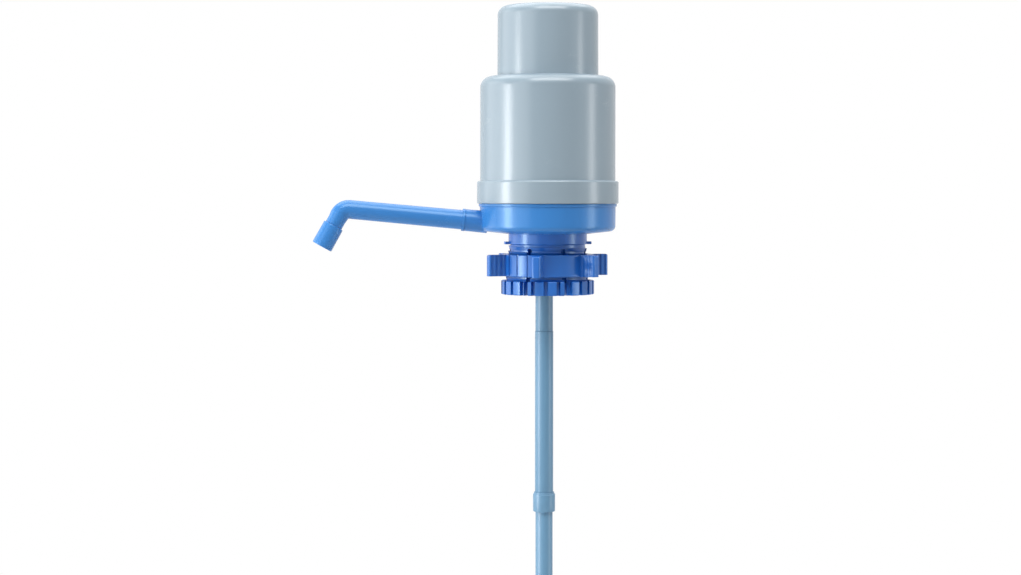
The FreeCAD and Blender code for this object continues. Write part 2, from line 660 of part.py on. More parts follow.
def base_cup():
    """Cup with a port for the spout, a chamber over the riser and a shelf for the deck."""
    piece = Piece("base_cup")
    rise = band_top + s.underside_rise
    corner_in = cup_radius - s.cup_corner
    spigot_top = cup_top + s.spigot_height
    snap = cup_top + s.snap_height
    piece.revolve([
        (0, band_top), (underside_radius, band_top), (corner_in, rise, s.cup_corner),
        (cup_radius, rise + s.cup_corner),
        (cup_radius, cup_top - s.lip_height), (lip_radius, cup_top - s.lip_height),
        (lip_radius, cup_top), (spigot_outside, cup_top), (spigot_outside, snap - s.snap_reach),
        (spigot_outside + s.snap_reach, snap), (spigot_outside, snap + s.snap_reach),
        (spigot_outside, spigot_top), (spigot_inside, spigot_top), (spigot_inside, cup_top),
        (spigot_inside - s.shelf_width, cup_top), (spigot_inside - s.shelf_width, shelf_low),
        (cup_inside, shelf_low), (cup_inside, rise + s.cup_corner), (corner_in, rise + s.cup_floor),
        (underside_radius, floor_top), (0, floor_top)])
    # posts under the shelf for the deck's screws, posts on the floor for the collet's screws
    post = circle(piece.sketch("XY_Plane", base=(0, 0, rise)), screw_place, 0, s.post_radius)
    piece.around(piece.pad(post, shelf_low - rise), s.deck_screw_count)
    middle = 180 / s.collet_screw_count
    stub = piece.sketch("XY_Plane", base=(0, 0, band_top), turn=middle)
    circle(stub, collet_screw_place, 0, s.post_radius)
    piece.around(piece.pad(stub, s.cup_floor + s.collet_post_height), s.collet_screw_count)
    # chamber over the riser, the duct inside the cup and the sleeve outside it
    chamber = piece.sketch("XY_Plane", base=(0, 0, band_top))
    circle(chamber, riser_x, 0, s.chamber_radius + s.chamber_wall)
    piece.pad(chamber, chamber_top + s.chamber_wall - band_top)
    wall_depth = (port_reach - cup_inside) / s.spout_rise_angle.trig("cos") + s.sleeve_root
    piece.revolve([(-duct_length, 0), (-duct_length, s.duct_radius + s.duct_wall),
                   (-wall_depth, s.duct_radius + s.duct_wall), (-wall_depth, 0)],
                  sketch=spout_axis_sketch(piece), axis="H_Axis")
    under = circle(piece.sketch("XY_Plane", base=(0, 0, band_top)), 0, 0, underside_radius)
    piece.pocket(under, s.duct_radius + s.duct_wall)
    lip_start = -s.sleeve_lip_length
    piece.revolve([(-wall_depth, 0), (-wall_depth, sleeve_radius), (lip_start, sleeve_radius),
                   (lip_start, sleeve_radius + s.sleeve_lip), (0, sleeve_radius + s.sleeve_lip), (0, 0)],
                  sketch=spout_axis_sketch(piece), axis="H_Axis")
    # bores: socket, duct, chamber, riser
    socket = s.spigot_radius + s.socket_fit
    piece.revolve([(-s.socket_depth - s.part_clearance, 0), (-s.socket_depth - s.part_clearance, socket),
                   (s.overlap, socket), (s.overlap, 0)], "Groove", spout_axis_sketch(piece), "H_Axis")
    piece.revolve([(-duct_length, 0), (-duct_length, s.duct_radius), (-s.socket_depth, s.duct_radius),
                   (-s.socket_depth, 0)], "Groove", spout_axis_sketch(piece), "H_Axis")
    hollow = piece.sketch("XY_Plane", base=(0, 0, chamber_top))
    piece.pocket(circle(hollow, riser_x, 0, s.chamber_radius), chamber_top - band_top)
    entry = piece.sketch("XY_Plane", base=(0, 0, floor_top))
    piece.pocket(circle(entry, riser_x, 0, s.riser_radius + s.riser_fit), s.cup_floor)
    roof_holes(piece, floor_top + s.collet_post_height, s.cup_floor + s.collet_post_height)
    # screw holes down through shelf and posts
    screw_holes(piece, screw_place, cup_top, s.deck_screw_length, s.deck_screw_count)
    return piece


def outer_housing():
    """Round-shouldered shell with a bead at its foot and a collar round the cap."""
    piece = Piece("outer_housing")
    bead_top = cup_top + s.bead_height
    groove_mid = cup_top + s.snap_height
    groove = s.snap_reach + s.part_clearance
    roof_low = housing_top - s.housing_roof
    shoulder, inner_shoulder = s.housing_shoulder, s.housing_shoulder - s.housing_roof
    piece.revolve([
        (housing_inside, cup_top), (bead_radius, cup_top), (bead_radius, bead_top),
        (s.housing_radius, bead_top), (s.housing_radius, housing_top - shoulder, shoulder),
        (s.housing_radius - shoulder, housing_top), (collar_inside, housing_top),
        (collar_inside, collar_low), (collar_inside + s.collar_wall, collar_low),
        (collar_inside + s.collar_wall, roof_low),
        (housing_inside - inner_shoulder, roof_low), (housing_inside, roof_low - inner_shoulder),
        (housing_inside, groove_mid + groove), (housing_inside + groove, groove_mid),
        (housing_inside, groove_mid - groove)])
    piece.chamfer_rims(s.bead_edge, [(bead_radius, cup_top), (bead_radius, bead_top)])
    return piece


# ---------------------------------------------------------------- cap and bellows
def push_cap():
    """Domed cap with a stop flange inside the housing and bosses for the bellows plate."""
    piece = Piece("push_cap")
    inside = cap_radius - s.cap_wall
    edge_z = cap_top - s.cap_dome
    crown = cap_radius - s.cap_edge
    stop_top = cap_low + s.cap_stop_height
    piece.revolve([
        (0, cap_top - s.cap_wall), (crown, edge_z - s.cap_wall), (inside, edge_z - s.cap_edge),
        (inside, cap_low), (cap_radius + s.cap_stop_reach, cap_low),
        (cap_radius + s.cap_stop_reach, stop_top), (cap_radius, stop_top),
        (cap_radius, edge_z - s.cap_edge, s.cap_edge), (crown, edge_z), (0, cap_top)])
    boss = circle(piece.sketch("XY_Plane", base=(0, 0, plate_top)), boss_place, 0, s.cap_boss_radius)
    post = piece.pad(boss, cap_top - plate_top - s.cap_dome - s.cap_wall / 2)
    hole = circle(piece.sketch("XY_Plane", base=(0, 0, plate_top)), boss_place, 0, screw_hole)
    bore = piece.pocket(hole, s.plate_screw_length, up=True)
    piece.around([post, bore], s.cap_boss_count)
    return piece


def valve_wall(piece, top, thickness):
    """Air holes and the stem's hole through a wall that a rubber valve closes from below."""
    port = circle(piece.sketch("XY_Plane", base=(0, 0, top)), s.port_place, 0, s.port_radius)
    piece.around(piece.pocket(port, thickness), s.port_count)
    stem = circle(piece.sketch("XY_Plane", base=(0, 0, top)), 0, 0, s.valve_stem + s.screw_hole_room)
    piece.pocket(stem, thickness)


def bellows_plate():
    """Disc that the cap's bosses press on; it closes the bellows and carries the inlet valve."""
    piece = Piece("bellows_plate")
    piece.revolve([
        (0, plate_low), (guide_inside, plate_low), (guide_inside, plate_low - s.guide_height),
        (guide_radius, plate_low - s.guide_height), (guide_radius, plate_low), (plate_radius, plate_low),
        (plate_radius, plate_top), (0, plate_top)])
    screw_holes(piece, boss_place, plate_top, s.plate_thickness, s.cap_boss_count)
    valve_wall(piece, plate_top, s.plate_thickness)
    return piece


def plate_screws():
    """Screws up through the plate into the cap's bosses."""
    return screws("plate_screws", boss_place, plate_low, False, s.plate_screw_length, s.cap_boss_count)


def rubber_valve(label, wall_low, wall_thickness):
    """Mushroom valve: a disc under a wall, a stem through it and a button that keeps it in."""
    piece = Piece(label)
    disc_top = wall_low - s.valve_gap
    button = wall_low + wall_thickness + s.valve_lift + s.valve_gap
    piece.revolve([
        (0, disc_top - s.valve_thickness), (s.valve_radius * VALVE_FLAT, disc_top - s.valve_thickness),
        (s.valve_radius, disc_top - s.valve_thickness * VALVE_RIM), (s.valve_radius, disc_top),
        (s.valve_stem, disc_top), (s.valve_stem, button), (s.valve_head, button),
        (s.valve_stem, button + s.valve_head_height), (0, button + s.valve_head_height)])
    return piece


def bellows():
    """Rubber bellows: a flange under the clamp ring, folds, and a cuff round the plate."""
    piece = Piece("bellows")
    room = s.part_clearance
    folds = int(s.bellows_fold_count.value)
    first, last = ring_low, plate_low - room - s.bellows_cuff
    pitch = (last - first) / s.bellows_fold_count
    outside, inside = [], []
    for fold in range(folds):
        crest = first + pitch * (fold + 0.5)
        outside += [(fold_crest, crest), (fold_valley, first + pitch * (fold + 1))]
        inside += [(fold_crest - s.bellows_wall, crest),
                   (fold_valley - s.bellows_wall, first + pitch * (fold + 1))]
    cuff = plate_radius + room + s.bellows_cuff
    hem = plate_radius - s.bellows_cuff
    top = plate_top + room + s.bellows_cuff / 2
    outline = [(fold_valley - s.bellows_wall, first), (fold_valley - s.bellows_wall, deck_top),
               (deck_radius, deck_top), (deck_radius, first), (fold_valley, first)] + outside
    outline += [(cuff, last), (cuff, top), (hem, top), (hem, plate_top + room),
                (plate_radius + room, plate_top + room), (plate_radius + room, plate_low - room),
                (fold_valley - s.bellows_wall, plate_low - room)]
    piece.revolve(outline + inside[::-1])
    screw_holes(piece, screw_place, ring_low, s.bellows_flange, s.deck_screw_count)
    return piece


def return_spring():
    """Coil spring between deck and plate."""
    low = deck_top + s.spring_wire + s.part_clearance
    height = plate_low - s.spring_wire - s.part_clearance - low
    piece = Piece("return_spring")
    wire = round_section(piece.sketch("XZ_Plane"), s.spring_radius, low, s.spring_wire)
    coil = piece.body.newObject("PartDesign::AdditiveHelix", piece.name("Coil"))
    coil.Profile = wire
    coil.ReferenceAxis = (wire, ["V_Axis"])
    coil.Mode = "height-turns-angle"
    coil.setExpression("Height", height.text)
    coil.setExpression("Turns", s.spring_coil_count.text)
    return piece


def valve_deck():
    """Plate across the cup: spring guide above, holes of the check valve in the middle."""
    piece = Piece("valve_deck")
    piece.revolve([
        (0, deck_low), (deck_radius, deck_low), (deck_radius, deck_top), (guide_radius, deck_top),
        (guide_radius, deck_top + s.guide_height), (guide_inside, deck_top + s.guide_height),
        (guide_inside, deck_top), (0, deck_top)])
    screw_holes(piece, screw_place, deck_top, s.deck_thickness, s.deck_screw_count)
    valve_wall(piece, deck_top, s.deck_thickness)
    return piece


def flat_ring(label, inside, outside, low, high):
    """Flat ring with the deck screws' holes: the seal under the deck or the clamp ring above."""
    piece = Piece(label)
    piece.revolve([(inside, low), (outside, low), (outside, high), (inside, high)])
    screw_holes(piece, screw_place, high, high - low, s.deck_screw_count)
    return piece


def deck_screws():
    """Screws down through clamp ring, bellows flange, deck and seal into the cup's posts."""
    return screws("deck_screws", screw_place, ring_top, True, s.deck_screw_length, s.deck_screw_count)


# ---------------------------------------------------------------- water way
def riser_pipe():
    """Pipe from the chamber down through the neck, with a flange and a spigot for the dip tube."""
    piece = Piece("riser_pipe")
    top = floor_top - s.part_clearance
    flange_low = band_top - s.riser_flange_height
    spigot = tube_bore - s.tube_fit
    piece.revolve([
        (s.riser_bore, s.riser_low - s.riser_spigot), (spigot, s.riser_low - s.riser_spigot),
        (spigot, s.riser_low), (s.riser_radius, s.riser_low), (s.riser_radius, flange_low),
        (s.riser_flange, flange_low), (s.riser_flange, band_top), (s.riser_radius, band_top),
        (s.riser_radius, top), (s.riser_bore, top)], sketch=piece.sketch(base=(riser_x, 0, 0)))
    inner, outer = riser_ring_place - s.riser_ring, riser_ring_place + s.riser_ring
    floor, over = band_top - s.riser_ring * 2, band_top + s.overlap
    piece.revolve([(inner, floor), (outer, floor), (outer, over), (inner, over)],
                  "Groove", piece.sketch(base=(riser_x, 0, 0)))
    return piece


def sealing_ring(label, sketch_of, place, height, section, axis):
    """Rubber ring for a groove."""
    piece = Piece(label)
    sketch = round_section(sketch_of(piece), place, height, section)
    feature = piece.feature("Revolution", sketch)
    feature.ReferenceAxis = (sketch, [axis])
    feature.Angle = 360
    return piece


def riser_seal():
    """Sealing ring in the riser's flange."""
    return sealing_ring("riser_seal", lambda piece: piece.sketch(base=(riser_x, 0, 0)),
                        riser_ring_place, band_top - s.riser_ring,
                        s.riser_ring - s.tube_fit, "V_Axis")


def dip_tubes():
    """Upper and lower dip tube and the coupler that joins them."""
    middle = s.coupler_top - s.coupler_length / 2
    upper = tube("upper_dip_tube", riser_x, tube_bore, s.upper_tube_radius,
                 middle + s.coupler_stop / 2, s.riser_low)
    lower_bore = s.lower_tube_radius - s.tube_wall
    lower = tube("lower_dip_tube", riser_x, lower_bore, s.lower_tube_radius,
                 s.tube_foot, middle - s.coupler_stop / 2)
    notch = lower.sketch("YZ_Plane", base=(0, 0, riser_x - s.lower_tube_radius - s.overlap))
    rectangle(notch, -s.foot_notch_width / 2, s.foot_notch_width / 2,
              s.tube_foot - s.overlap, s.tube_foot + s.foot_notch_height)
    lower.pocket(notch, (s.lower_tube_radius + s.overlap) * 2, up=True)
    coupler = Piece("tube_coupler")
    upper_socket = s.upper_tube_radius + s.tube_fit
    lower_socket = s.lower_tube_radius + s.tube_fit
    coupler_low = s.coupler_top - s.coupler_length
    stop_top, stop_low = middle + s.coupler_stop / 2, middle - s.coupler_stop / 2
    edge = s.coupler_edge
    coupler.revolve([
        (lower_socket, coupler_low), (coupler_radius - edge, coupler_low),
        (coupler_radius, coupler_low + edge), (coupler_radius, s.coupler_top - edge * 2),
        (coupler_radius - edge, s.coupler_top - edge * 2), (coupler_radius - edge, s.coupler_top),
        (upper_socket, s.coupler_top), (upper_socket, stop_top), (lower_bore, stop_top),
        (lower_bore, stop_low), (lower_socket, stop_low)], sketch=coupler.sketch(base=(riser_x, 0, 0)))
    return [upper, coupler, lower]


# ---------------------------------------------------------------- spout
corner_x = port_reach + s.spout_length * s.spout_rise_angle.trig("cos")
corner_z = port_height + s.spout_length * s.spout_rise_angle.trig("sin")
bend_reach = s.elbow_radius * (s.elbow_angle / 2).trig("tan")
nozzle_end = s.nozzle_start + s.nozzle_length


def nozzle_axis_sketch(piece):
    """A sketch whose x axis runs from the elbow's corner down the nozzle's axis."""
    turn = 180 - s.spout_rise_angle + s.elbow_angle
    return piece.sketch("XZ_Plane", base=(-corner_x, corner_z, 0), turn=turn)


def water_path(piece, start, end):
    """Straight, elbow, straight: the spout's centre line from start to end along it."""
    turn = s.elbow_angle
    along, across = turn.trig("cos"), turn.trig("sin")
    return polygon(spout_axis_sketch(piece), [
        (start, 0), (s.spout_length - bend_reach, 0, s.elbow_radius),
        (s.spout_length + bend_reach * along, bend_reach * across),
        (s.spout_length + end * along, end * across)], closed=False)


def pipe(piece, kind, start, end, radius):
    """A round section carried along the spout's centre line; kind is Additive or Subtractive."""
    spine = water_path(piece, start, end)
    doc.recompute()
    section = piece.body.newObject("Sketcher::SketchObject", piece.name("Section"))
    section.AttachmentSupport = [(spine, "Edge1")]
    section.MapMode = "NormalToEdge"
    circle(section, 0, 0, radius)
    feature = piece.body.newObject("PartDesign::%sPipe" % kind, piece.name("Pipe"))
    feature.Profile = section
    feature.Spine = spine
    return feature


def spout_tube():
    """Tapered tube with a grooved spigot, an elbow and a stem for the nozzle."""
    piece = Piece("spout_tube")
    bend_start = s.spout_length - bend_reach
    groove_start = -s.ring_groove_place - s.ring_groove_width / 2
    groove_end = -s.ring_groove_place + s.ring_groove_width / 2
    groove = s.spigot_radius - s.ring_groove_depth
    piece.revolve([
        (-s.socket_depth, 0), (-s.socket_depth, s.spigot_radius), (groove_start, s.spigot_radius),
        (groove_start, groove), (groove_end, groove), (groove_end, s.spigot_radius),
        (s.socket_fit, s.spigot_radius), (s.socket_fit, s.spout_root_radius),
        (bend_start, s.spout_end_radius), (bend_start, 0)], sketch=spout_axis_sketch(piece), axis="H_Axis")
    pipe(piece, "Additive", bend_start - s.overlap, bend_reach + s.overlap / 2, s.spout_end_radius)
    stem_end = s.nozzle_start + s.nozzle_grip
    piece.revolve([
        (bend_reach, 0), (bend_reach, s.spout_end_radius), (bend_reach + s.stem_step, s.stem_radius),
        (stem_end, s.stem_radius), (stem_end, 0)], sketch=nozzle_axis_sketch(piece), axis="H_Axis")
    pipe(piece, "Subtractive", -s.socket_depth - s.overlap, stem_end + s.overlap, s.spout_bore)
    return piece


def spout_nozzle():
    """Sleeve pushed over the end of the spout."""
    piece = Piece("spout_nozzle")
    socket = s.stem_radius + s.tube_fit
    seat = s.nozzle_start + s.nozzle_grip + s.tube_fit
    edge = s.nozzle_edge
    piece.revolve([
        (s.nozzle_start, socket), (s.nozzle_start, nozzle_radius - edge),
        (s.nozzle_start + edge, nozzle_radius),
        (nozzle_end - edge, nozzle_radius), (nozzle_end, nozzle_radius - edge),
        (nozzle_end, s.spout_bore), (seat, s.spout_bore), (seat, socket)],
        sketch=nozzle_axis_sketch(piece), axis="H_Axis")
    return piece


def spout_o_ring():
    """Sealing ring in the spigot's groove."""
    return sealing_ring("spout_o_ring", spout_axis_sketch, -s.ring_groove_place,
                        s.spigot_radius - s.ring_groove_depth + s.ring_section + s.tube_fit,
                        s.ring_section, "H_Axis")


# ---------------------------------------------------------------- the whole pump
def build():
    pieces = [
        push_cap(), bellows_plate(), plate_screws(),
        rubber_valve("inlet_valve", plate_low, s.plate_thickness),
        bellows(), return_spring(), outer_housing(), base_cup(), valve_deck(),
        flat_ring("deck_seal", spigot_inside - s.shelf_width, deck_radius, cup_top, deck_low),
        flat_ring("bellows_clamp_ring", ring_inside, deck_radius, ring_low, ring_top),
        deck_screws(), rubber_valve("check_valve", deck_low, s.deck_thickness),
        neck_collet(), collet_screws(), neck_gasket(), clamp_nut(), riser_pipe(), riser_seal(),
        spout_tube(), spout_o_ring(), spout_nozzle()]
    return pieces + dip_tubes()


def check(pieces):
    """Stops at the first object that failed and at the first shape that isn't a valid solid."""
    doc.recompute()
    for item in doc.Objects:
        if "Invalid" in item.State or "Error" in item.State:
            raise RuntimeError("%s failed: %s" % (item.Name, item.State))
    for piece in pieces:
        shape = piece.body.Shape
        if shape.isNull() or not shape.isValid() or not shape.Solids:
            raise RuntimeError("%s has no valid shape" % piece.label)


def write(pieces):
    os.makedirs("parts", exist_ok=True)
    for piece in pieces:
        piece.body.Shape.exportStep("parts/%s.step" % piece.label)


pump = build()
check(pump)
write(pump)
for piece in pump:
    shape, box = piece.body.Shape, piece.body.Shape.BoundBox
    span = (box.XMin, box.XMax, box.YMin, box.YMax, box.ZMin, box.ZMax)
    print("%-20s %2d solid(s) %10.1f mm3" % (piece.label, len(shape.Solids), shape.Volume),
          "  x %7.1f %7.1f  y %7.1f %7.1f  z %7.1f %7.1f" % span)
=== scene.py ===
"""Looks of a hand pump for a water jug, built round its packed construction model."""
import math

import bmesh
import bpy
from mathutils import Matrix, Vector


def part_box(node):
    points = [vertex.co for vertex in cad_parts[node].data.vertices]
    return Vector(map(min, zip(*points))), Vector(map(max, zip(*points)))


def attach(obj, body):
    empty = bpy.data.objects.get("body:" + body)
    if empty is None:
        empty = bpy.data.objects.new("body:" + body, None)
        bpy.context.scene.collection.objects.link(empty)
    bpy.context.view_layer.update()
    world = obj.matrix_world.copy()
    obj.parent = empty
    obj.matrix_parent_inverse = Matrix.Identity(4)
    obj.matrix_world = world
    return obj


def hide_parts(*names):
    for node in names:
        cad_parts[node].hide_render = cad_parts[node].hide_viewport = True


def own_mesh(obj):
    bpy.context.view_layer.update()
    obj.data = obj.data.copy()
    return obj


bl_info = {
    "name": "Water jug hand pump",
    "version": (1, 0, 0),
    "blender": (4, 5, 0),
    "location": "View3D > Sidebar > Hand Pump",
    "description": "Builds the pieces, finishes and studio of a hand pump for a water jug",
    "category": "Object",
}

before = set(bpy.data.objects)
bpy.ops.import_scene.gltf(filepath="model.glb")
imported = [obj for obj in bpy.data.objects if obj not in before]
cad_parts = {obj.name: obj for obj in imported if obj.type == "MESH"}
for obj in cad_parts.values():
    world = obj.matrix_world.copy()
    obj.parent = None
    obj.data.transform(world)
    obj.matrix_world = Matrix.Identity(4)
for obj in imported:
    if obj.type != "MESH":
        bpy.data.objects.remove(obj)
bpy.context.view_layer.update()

MM = 0.001
TAU = 2 * math.pi

# Sides of round pieces, from the housing down to the spring's wire
SIDES, TUBE_SIDES, PIPE_SIDES, DUCT_SIDES, SCREW_SIDES, BOSS_SIDES, WIRE_SIDES = 160, 96, 64, 48, 40, 32, 10
# Rings of the cap's dome and along the spout's straight pipe, its elbow and the stem past it
DOME_STEPS, PIPE_STEPS, ELBOW_STEPS, STEM_STEPS = 9, 12, 14, 4
# Points in one turn of the collet's thread and of the return spring
THREAD_POINTS, COIL_POINTS = 96, 48
# Roundings of edges, from a trimmed one to a full one
TRIMMED, CRISP, EASED, SOFT, FULL = 0.2 * MM, 0.3 * MM, 0.4 * MM, 0.5 * MM, 0.6 * MM
# Angle over which an edge stays sharp, and distance within which points are joined
CREASE, WELD = math.radians(32), 1e-7
# Play of pieces that are pushed together, and how far a cutter stands out of what it cuts
FIT, PAST = 0.05 * MM, 1 * MM
BOSS_ROOT, RUBBER_GAP = 3 * MM, 0.3 * MM
# Screws stand at random turns up to this angle either way
SCREW_TWIST, TWIST_SEED = 1.2, 4
# The studio: what the lights face, the floor's disc, and its colours
LIT_PLACE, FLOOR_RADIUS, FLOOR_GAP = (0, 0, 0.05), 0.75, 1 * MM
WHITE, PAPER = (1, 1, 1, 1), (0.8, 0.8, 0.8, 1)


# ---------------------------------------------------------------- sizes and colours
def length(title, millimetres, meaning):
    """A size that the user can change, in metres, given here in millimetres."""
    return bpy.props.FloatProperty(name=title, description=meaning, default=millimetres * MM,
                                   unit="LENGTH", precision=4)


def angle(title, degrees, meaning):
    """A size that the user can change, in radians, given here in degrees."""
    return bpy.props.FloatProperty(name=title, description=meaning, default=math.radians(degrees),
                                   subtype="ANGLE")


def number(title, count, meaning):
    """A count of like pieces that the user can change."""
    return bpy.props.IntProperty(name=title, description=meaning, default=count, min=1)


def tint(title, red, green, blue, meaning):
    """A colour given in the 0 to 255 steps of a screen, kept as linear light."""
    linear = [((step / 255 + 0.055) / 1.055) ** 2.4 for step in (red, green, blue)]
    return bpy.props.FloatVectorProperty(name=title, description=meaning, default=linear,
                                         subtype="COLOR", size=3, min=0, max=1)


class PumpHeadSizes(bpy.types.PropertyGroup):
    cap_radius: length("Cap radius", 43.5, "Outside radius of the push cap at its foot")
    cap_taper: length("Cap taper", 0.3, "How much narrower the cap is at its top")
    cap_edge: length("Cap edge", 8.0, "Rounding between the cap's side and its crown")
    cap_dome: length("Cap dome", 1.6, "Rise of the crown's middle over its edge")
    cap_wall: length("Cap wall", 2.2, "Wall of the cap")
    cap_stop: length("Cap stop", 3.4, "Reach of the flange that keeps the cap in")
    cap_stop_height: length("Cap stop height", 2.6, "Thickness of that flange")
    boss_ring: length("Boss ring", 31.0, "Distance of the cap's screw bosses from the axis")
    boss_radius: length("Boss radius", 4.4, "Outside radius of a boss")
    boss_bore: length("Boss bore", 1.8, "Bore of a boss")
    housing_radius: length("Housing radius", 58.2, "Outside radius of the housing")
    housing_shoulder: length("Housing shoulder", 9.5, "Rounding of the housing's top edge")
    housing_wall: length("Housing wall", 2.2, "Wall of the housing")
    collar_gap: length("Collar gap", 0.35, "Room between the cap and the housing's collar")
    collar_depth: length("Collar depth", 6.0, "Length of the collar round the cap")
    bead_radius: length("Bead radius", 61.05, "Outside radius of the bead at the housing's foot")
    bead_height: length("Bead height", 19.5, "Height of that bead")
    bead_edge: length("Bead edge", 1.6, "Rounding on the bead")


class BellowsSizes(bpy.types.PropertyGroup):
    valley: length("Valley", 38.0, "Outside radius of the bellows between two folds")
    crest: length("Crest", 46.6, "Outside radius of the bellows on a fold")
    rubber: length("Rubber", 2.2, "Wall of the bellows, measured across")
    fold_count: number("Folds", 6, "Folds of the bellows")
    rim: length("Rim", 42.9, "Outside radius of the rim that grips the plate")
    rim_height: length("Rim height", 2.9, "Rubber under the plate")
    groove: length("Groove", 40.3, "Radius of the groove that holds the plate's edge")
    lip: length("Lip", 37.4, "Inside radius of the lip over the plate")
    plate_edge: length("Plate edge", 3.2, "Height of the plate's edge over its underside")
    coil_radius: length("Coil radius", 24.0, "Radius of the return spring's centre line")
    wire_radius: length("Wire radius", 1.2, "Radius of the return spring's wire")
    turn_count: number("Turns", 6, "Turns of the return spring")
    spring_seat: length("Spring seat", 3.2, "Depth of the spring's seat in the deck")


class CupSizes(bpy.types.PropertyGroup):
    wall_radius: length("Wall radius", 58.6, "Outside radius of the cup")
    wall: length("Wall", 2.5, "Thickness of the cup's wall")
    corner: length("Corner", 5.0, "Rounding at the cup's bottom corner")
    cone_radius: length("Cone radius", 35.3, "Where the flat underside turns into a cone")
    cone_rise: length("Cone rise", 2.6, "Rise of the underside to the corner")
    lip_radius: length("Lip radius", 59.6, "Outside radius of the lip under the housing")
    lip_height: length("Lip height", 2.5, "Height of that lip")
    sleeve_radius: length("Sleeve radius", 9.35, "Sleeve that the spout turns in")
    sleeve_rim: length("Sleeve rim", 0.3, "Raised rim at the sleeve's mouth")
    sleeve_rim_length: length("Sleeve rim length", 2.2, "Length of that rim")
    sleeve_root: length("Sleeve root", 22.0, "Depth of the sleeve from its mouth into the cup")
    spigot_out: length("Spigot outside", 55.7, "Outside radius of the ring that the housing is pushed on")
    spigot_in: length("Spigot inside", 53.4, "Inside radius of that ring")
    shelf: length("Shelf", 7.4, "Width of the shelf under the deck")
    shelf_height: length("Shelf height", 3.0, "Thickness of that shelf")
    floor: length("Floor", 3.0, "Thickness of the cup's floor")
    duct_out: length("Duct outside", 6.5, "Outside radius of the duct to the riser")
    duct_in: length("Duct inside", 4.5, "Inside radius of that duct")


class SpoutSizes(bpy.types.PropertyGroup):
    rise: angle("Rise", 5.3, "How much the spout climbs")
    turn: angle("Turn", 66.0, "How much the elbow turns down")
    mouth_reach: length("Mouth reach", 74.3, "Distance of the sleeve's mouth from the pump's axis")
    mouth_height: length("Mouth height", 64.2, "Height of the spout's axis at that mouth")
    straight: length("Straight", 102.4, "From the mouth to the elbow's corner")
    root_radius: length("Root radius", 8.4, "Spout at the sleeve")
    end_radius: length("End radius", 8.05, "Spout at the elbow")
    stem_radius: length("Stem radius", 7.6, "Spout between elbow and nozzle")
    bore: length("Bore", 5.2, "Bore of the spout")
    elbow: length("Elbow", 9.0, "Radius of the elbow's centre line")
    spigot_radius: length("Spigot radius", 7.5, "End of the spout inside the sleeve")
    spigot_length: length("Spigot length", 14.0, "Length of that end")
    nozzle_start: length("Nozzle start", 16.2, "From the elbow's corner to the nozzle")
    nozzle_length: length("Nozzle length", 20.75, "Length of the nozzle")
    nozzle_radius: length("Nozzle radius", 9.12, "Outside radius of the nozzle")
    nozzle_seat: length("Nozzle seat", 9.05, "How far the spout reaches into the nozzle")
    ring_groove: length("Ring groove", 6.3, "Bottom radius of the groove for the sealing ring")
    ring_place: length("Ring place", 7.0, "Depth of that groove's middle from the mouth")
    ring_width: length("Ring width", 2.0, "Width of that groove")


class ClampSizes(bpy.types.PropertyGroup):
    bore: length("Bore", 28.0, "Bore that the neck goes into")
    flange_radius: length("Flange radius", 40.2, "Outside radius of the lugged flange")
    flange_height: length("Flange height", 12.0, "Height of the lugged flange")
    lug_root: length("Lug root", 35.7, "Radius of the flange between two lugs")
    lug_count: number("Lugs", 23, "Lugs round the flange")
    lug_gap: angle("Lug gap", 5.0, "Width of the gap between two lugs")
    lug_turn: angle("Lug turn", -99.4, "Angle of the first gap")
    cone_low: length("Cone at flange", 35.0, "Collet cone at the flange")
    cone_top: length("Cone at band", 32.3, "Collet cone at the band")
    cone_end: length("Cone end", 43.0, "Height where the band starts")
    band_radius: length("Band radius", 33.9, "Outside radius of the band")
    slot_count: number("Slots", 7, "Slots that split the collet into fingers")
    slot_width: length("Slot width", 4.0, "Width of one slot")
    slot_end: length("Slot end", 40.0, "Height where a slot ends")
    slot_turn: angle("Slot turn", -124.8, "Angle of the first slot")
    thread_pitch: length("Thread pitch", 4.5, "Rise of the thread in one turn")
    thread_depth: length("Thread depth", 1.5, "Height of the thread over the cone")
    thread_root: length("Thread root", 2.6, "Width of the thread at the cone")
    thread_crest: length("Thread crest", 0.9, "Width of the thread at its top")
    grip_count: number("Grip ribs", 9, "Fine ribs in the bore that hold the neck")
    grip_pitch: length("Grip pitch", 1.1, "Distance of two grip ribs")
    grip_depth: length("Grip depth", 0.25, "Height of a grip rib")
    roof: length("Roof", 8.0, "Thickness of the collet over the neck")
    ear_count: number("Ears", 2, "Ears on the band")
    ear_reach: length("Ear reach", 3.8, "How far an ear stands out from the band")
    ear_width: length("Ear width", 9.0, "Width of an ear")
    ear_height: length("Ear height", 2.3, "Thickness of an ear")
    nut_radius: length("Nut radius", 39.6, "Outside radius of the nut's ring")
    nut_low: length("Nut low", 15.7, "Height of the nut's underside")
    nut_height: length("Nut height", 18.9, "Height of the nut")
    fin_count: number("Fins", 6, "Finger grips on the nut")
    fin_reach: length("Fin reach", 54.6, "Radius of a fin's outer edge")
    fin_width: length("Fin width", 7.5, "Thickness of a fin")
    fin_turn: angle("Fin turn", -107.5, "Angle of the first fin")
    fin_edge: length("Fin edge", 2.4, "Rounding of a fin's top corner")
    notch_count: number("Notches", 3, "Notches down each side of a fin")
    notch_start: length("Notch start", 41.4, "Radius of the first notch")
    notch_pitch: length("Notch pitch", 4.2, "Distance of two notches")
    notch_width: length("Notch width", 2.2, "Width of a notch")
    notch_depth: length("Notch depth", 0.7, "Depth of a notch")
    groove_count: number("Grooves", 3, "Grooves in every second panel of the nut")
    groove_step: angle("Groove step", 15.2, "Angle between two grooves")
    groove_width: length("Groove width", 2.0, "Width of a groove")
    groove_depth: length("Groove depth", 0.9, "Depth of a groove")


